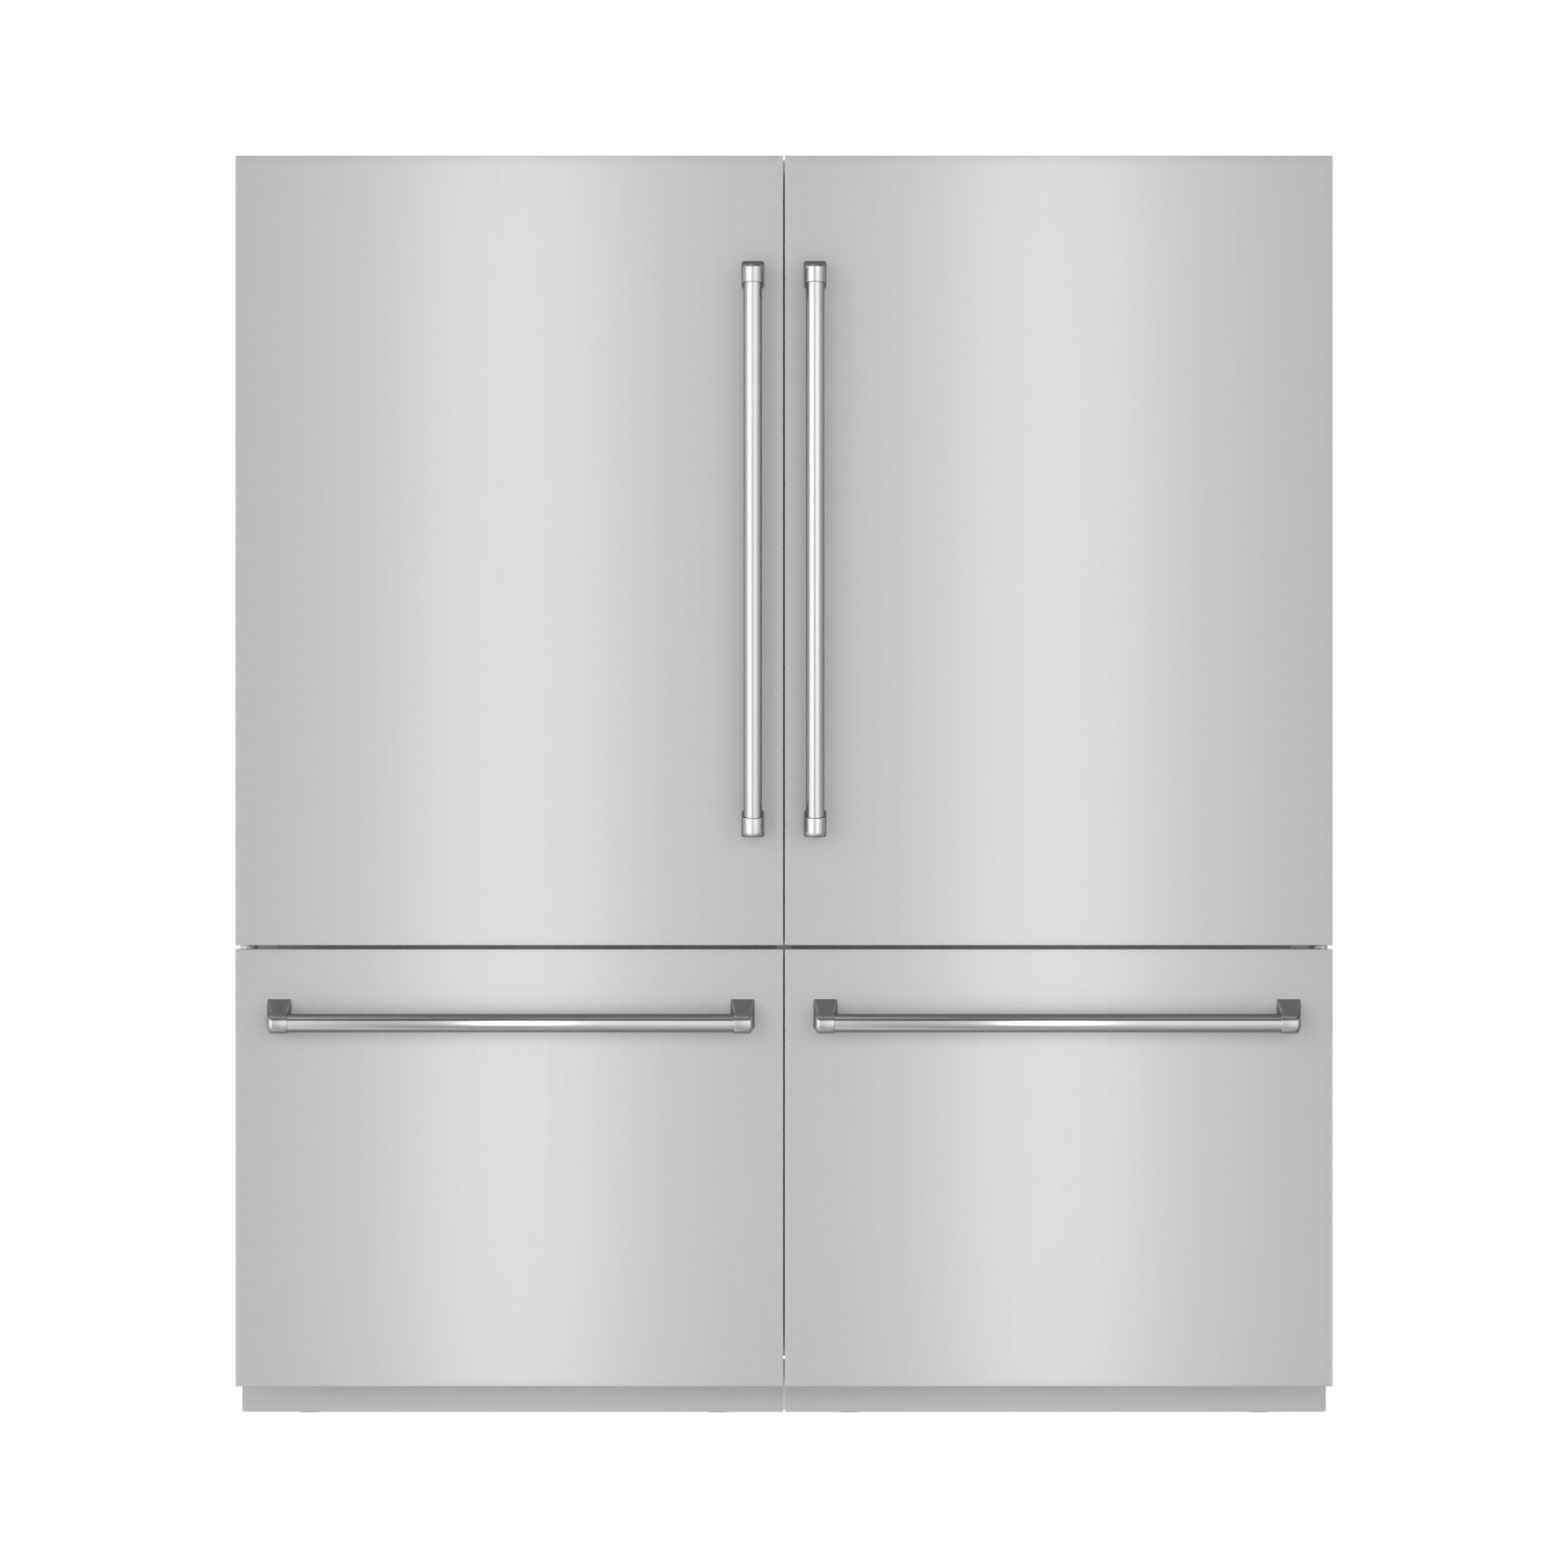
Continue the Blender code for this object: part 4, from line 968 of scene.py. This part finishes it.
# The fan's shroud is one plate with a short throat round its hole. Two struts hold the motor in it.
fan_place = np.array((0.420, 0.258, 0.160))
plate_front, plate_back, throat_end, throat, throat_wall = -0.0185, -0.0170, 0.0185, 0.067, 0.0015
plate_box = np.array((0.186, 0.330, 0.0590, 0.238))
hole, hole_outside = [np.repeat(fan_place[1:], 2) + np.array((-1, 1, -1, 1)) * size
                      for size in (throat, throat + throat_wall)]
shroud_boxes = [plate_box, hole, hole, hole_outside, hole_outside, plate_box]
shroud_levels = [plate_front, plate_front, throat_end, throat_end, plate_back, plate_back]
plate_corner, round_hole = 0.006, throat - 0.0012
outside_hole = round_hole + throat_wall
shroud_corners = [plate_corner, round_hole, round_hole, outside_hole, outside_hole, plate_corner]
shroud_rows = rows_of(shroud_boxes, shroud_corners, fan_place[0] + shroud_levels, 0, steps=12)
shroud = surface(shroud_rows, ends="joined")
arm_low, arm_high, arm_half = plate_back + 0.0005, plate_back + 0.0030, 0.004
struts = []
for half_y, half_z in ((arm_half, throat), (throat, arm_half)):
    strut_low = fan_place + (arm_low, -half_y, -half_z)
    strut_high = fan_place + (arm_high, half_y, half_z)
    struts.append(slab(strut_low, strut_high, 0, edge=0.0006, corner=0.0015))
motor_profile = [(0.019, -0.040), (0.022, -0.038), (0.022, -0.0145), (0.020, -0.0138)]
motor = turned(motor_profile, fan_place, 0, steps=32)
pair("fan_shroud", [shroud, *struts, motor], cover_plastic, "cabinet")
hub_profile = [(0.0165, -0.0130), (0.0190, -0.0110), (0.0190, 0.0120), (0.0150, 0.0160)]
hub = turned(hub_profile, fan_place, 0, steps=32)
blade_root, blade_tip, blade_sheet, half_chord, lead = 0.016, 0.064, 0.0016, 0.42, 2.0
blades = []
for number in range(5):
    span, chord = np.meshgrid(np.linspace(blade_root, blade_tip, 9), np.linspace(-1, 1, 13), indexing="ij")
    sweep = number * 2 * np.pi / 5 + chord * half_chord + (span - blade_root) * lead
    pitch = chord * 0.011 + 0.002 * (1 - chord ** 2)
    upper = np.stack([pitch, span * np.cos(sweep), span * np.sin(sweep)], axis=-1)
    lower = upper + (blade_sheet, 0, 0)
    blades.append(surface(np.concatenate([upper, lower[:, ::-1]], axis=1) + fan_place))
pair("condenser_fan", [hub, *blades], slot_shade, "cabinet")

pan_low, pan_high = (0.066, 0.180, 0.0565), (0.500, 0.338, 0.0800)
pan = tray(pan_low, pan_high, 2, wall=0.002, corner=0.010, draft=0.05)
pan_plastic = moulded("pan_plastic", (0.12, 0.12, 0.125), roughness=0.5)
pair("drain_pan", [pan], pan_plastic, "cabinet")

# The drier stands in the line from the condenser. Each pipe is a smooth path through its knots.
drier_profile = [
    [(0.004, -0.062)],
    bend(0.006, -0.045, 0.010, -80, 0, 5),
    bend(0.006, 0.045, 0.010, 0, 80, 5),
    [(0.004, 0.062)],
]
drier = turned(drier_profile, (0.530, 0.320, 0.205), 2, steps=28)
discharge = [(0.585, 0.245, 0.200), (0.566, 0.262, 0.235), (0.548, 0.300, 0.262), (0.530, 0.320, 0.262)]
liquid = [(0.530, 0.320, 0.146), (0.520, 0.322, 0.110), (0.430, 0.335, 0.094),
          (0.345, 0.322, 0.100), (0.318, 0.295, 0.106)]
suction = [(0.690, 0.262, 0.205), (0.715, 0.285, 0.225), (0.760, 0.300, 0.190),
           (0.810, 0.262, 0.230), (0.820, 0.235, 0.2848)]
pipe_sizes = ((discharge, 0.0032), (liquid, 0.0032), (suction, 0.0045))
pipes = [tube(smooth_path(knots), radius=size) for knots, size in pipe_sizes]
pair("refrigerant_pipes", [drier, *pipes], copper, "cabinet")

# Painted plates close the compartment's two sides, flush with the case.
side_plates = []
for face_x, inner in ((case_low[0], 0.0012), (case_high[0], -0.0012)):
    ends = sorted((face_x, face_x + inner))
    plate_low, plate_high = (ends[0], 0.1655, 0.060), (ends[1], 0.3440, 0.2845)
    side_plates.append(slab(plate_low, plate_high, 0, edge=0.0004, corner=0.004))
pair("machine_side_plates", side_plates, case_paint, "cabinet")

# A slotted cover closes the compartment behind. It is a pressed frame with a bank of louvres.
grille_low = (0.036, 0.3448, 0.064)
grille_high = (0.866, 0.3472, 0.2835)
grille_profile = [
    [(0.0, 0.0), (0.0, 0.0016)],
    bend(0.0008, 0.0016, 0.0008, 180, 90, 3),
    [(0.016, 0.0024), (0.016, 0.0)],
]
grille = [ring(grille_low, grille_high, 1, grille_profile, corner=0.010)]
for height in np.linspace(grille_low[2] + 0.018, grille_high[2] - 0.026, 12):
    louvre_low = (grille_low[0] + 0.012, grille_low[1], height)
    louvre_high = (grille_high[0] - 0.012, grille_low[1] + 0.0019, height + 0.0095)
    grille.append(slab(louvre_low, louvre_high, 1, edge=0.0007, corner=0.002))
pair("rear_grille", grille, black_paint, "cabinet")
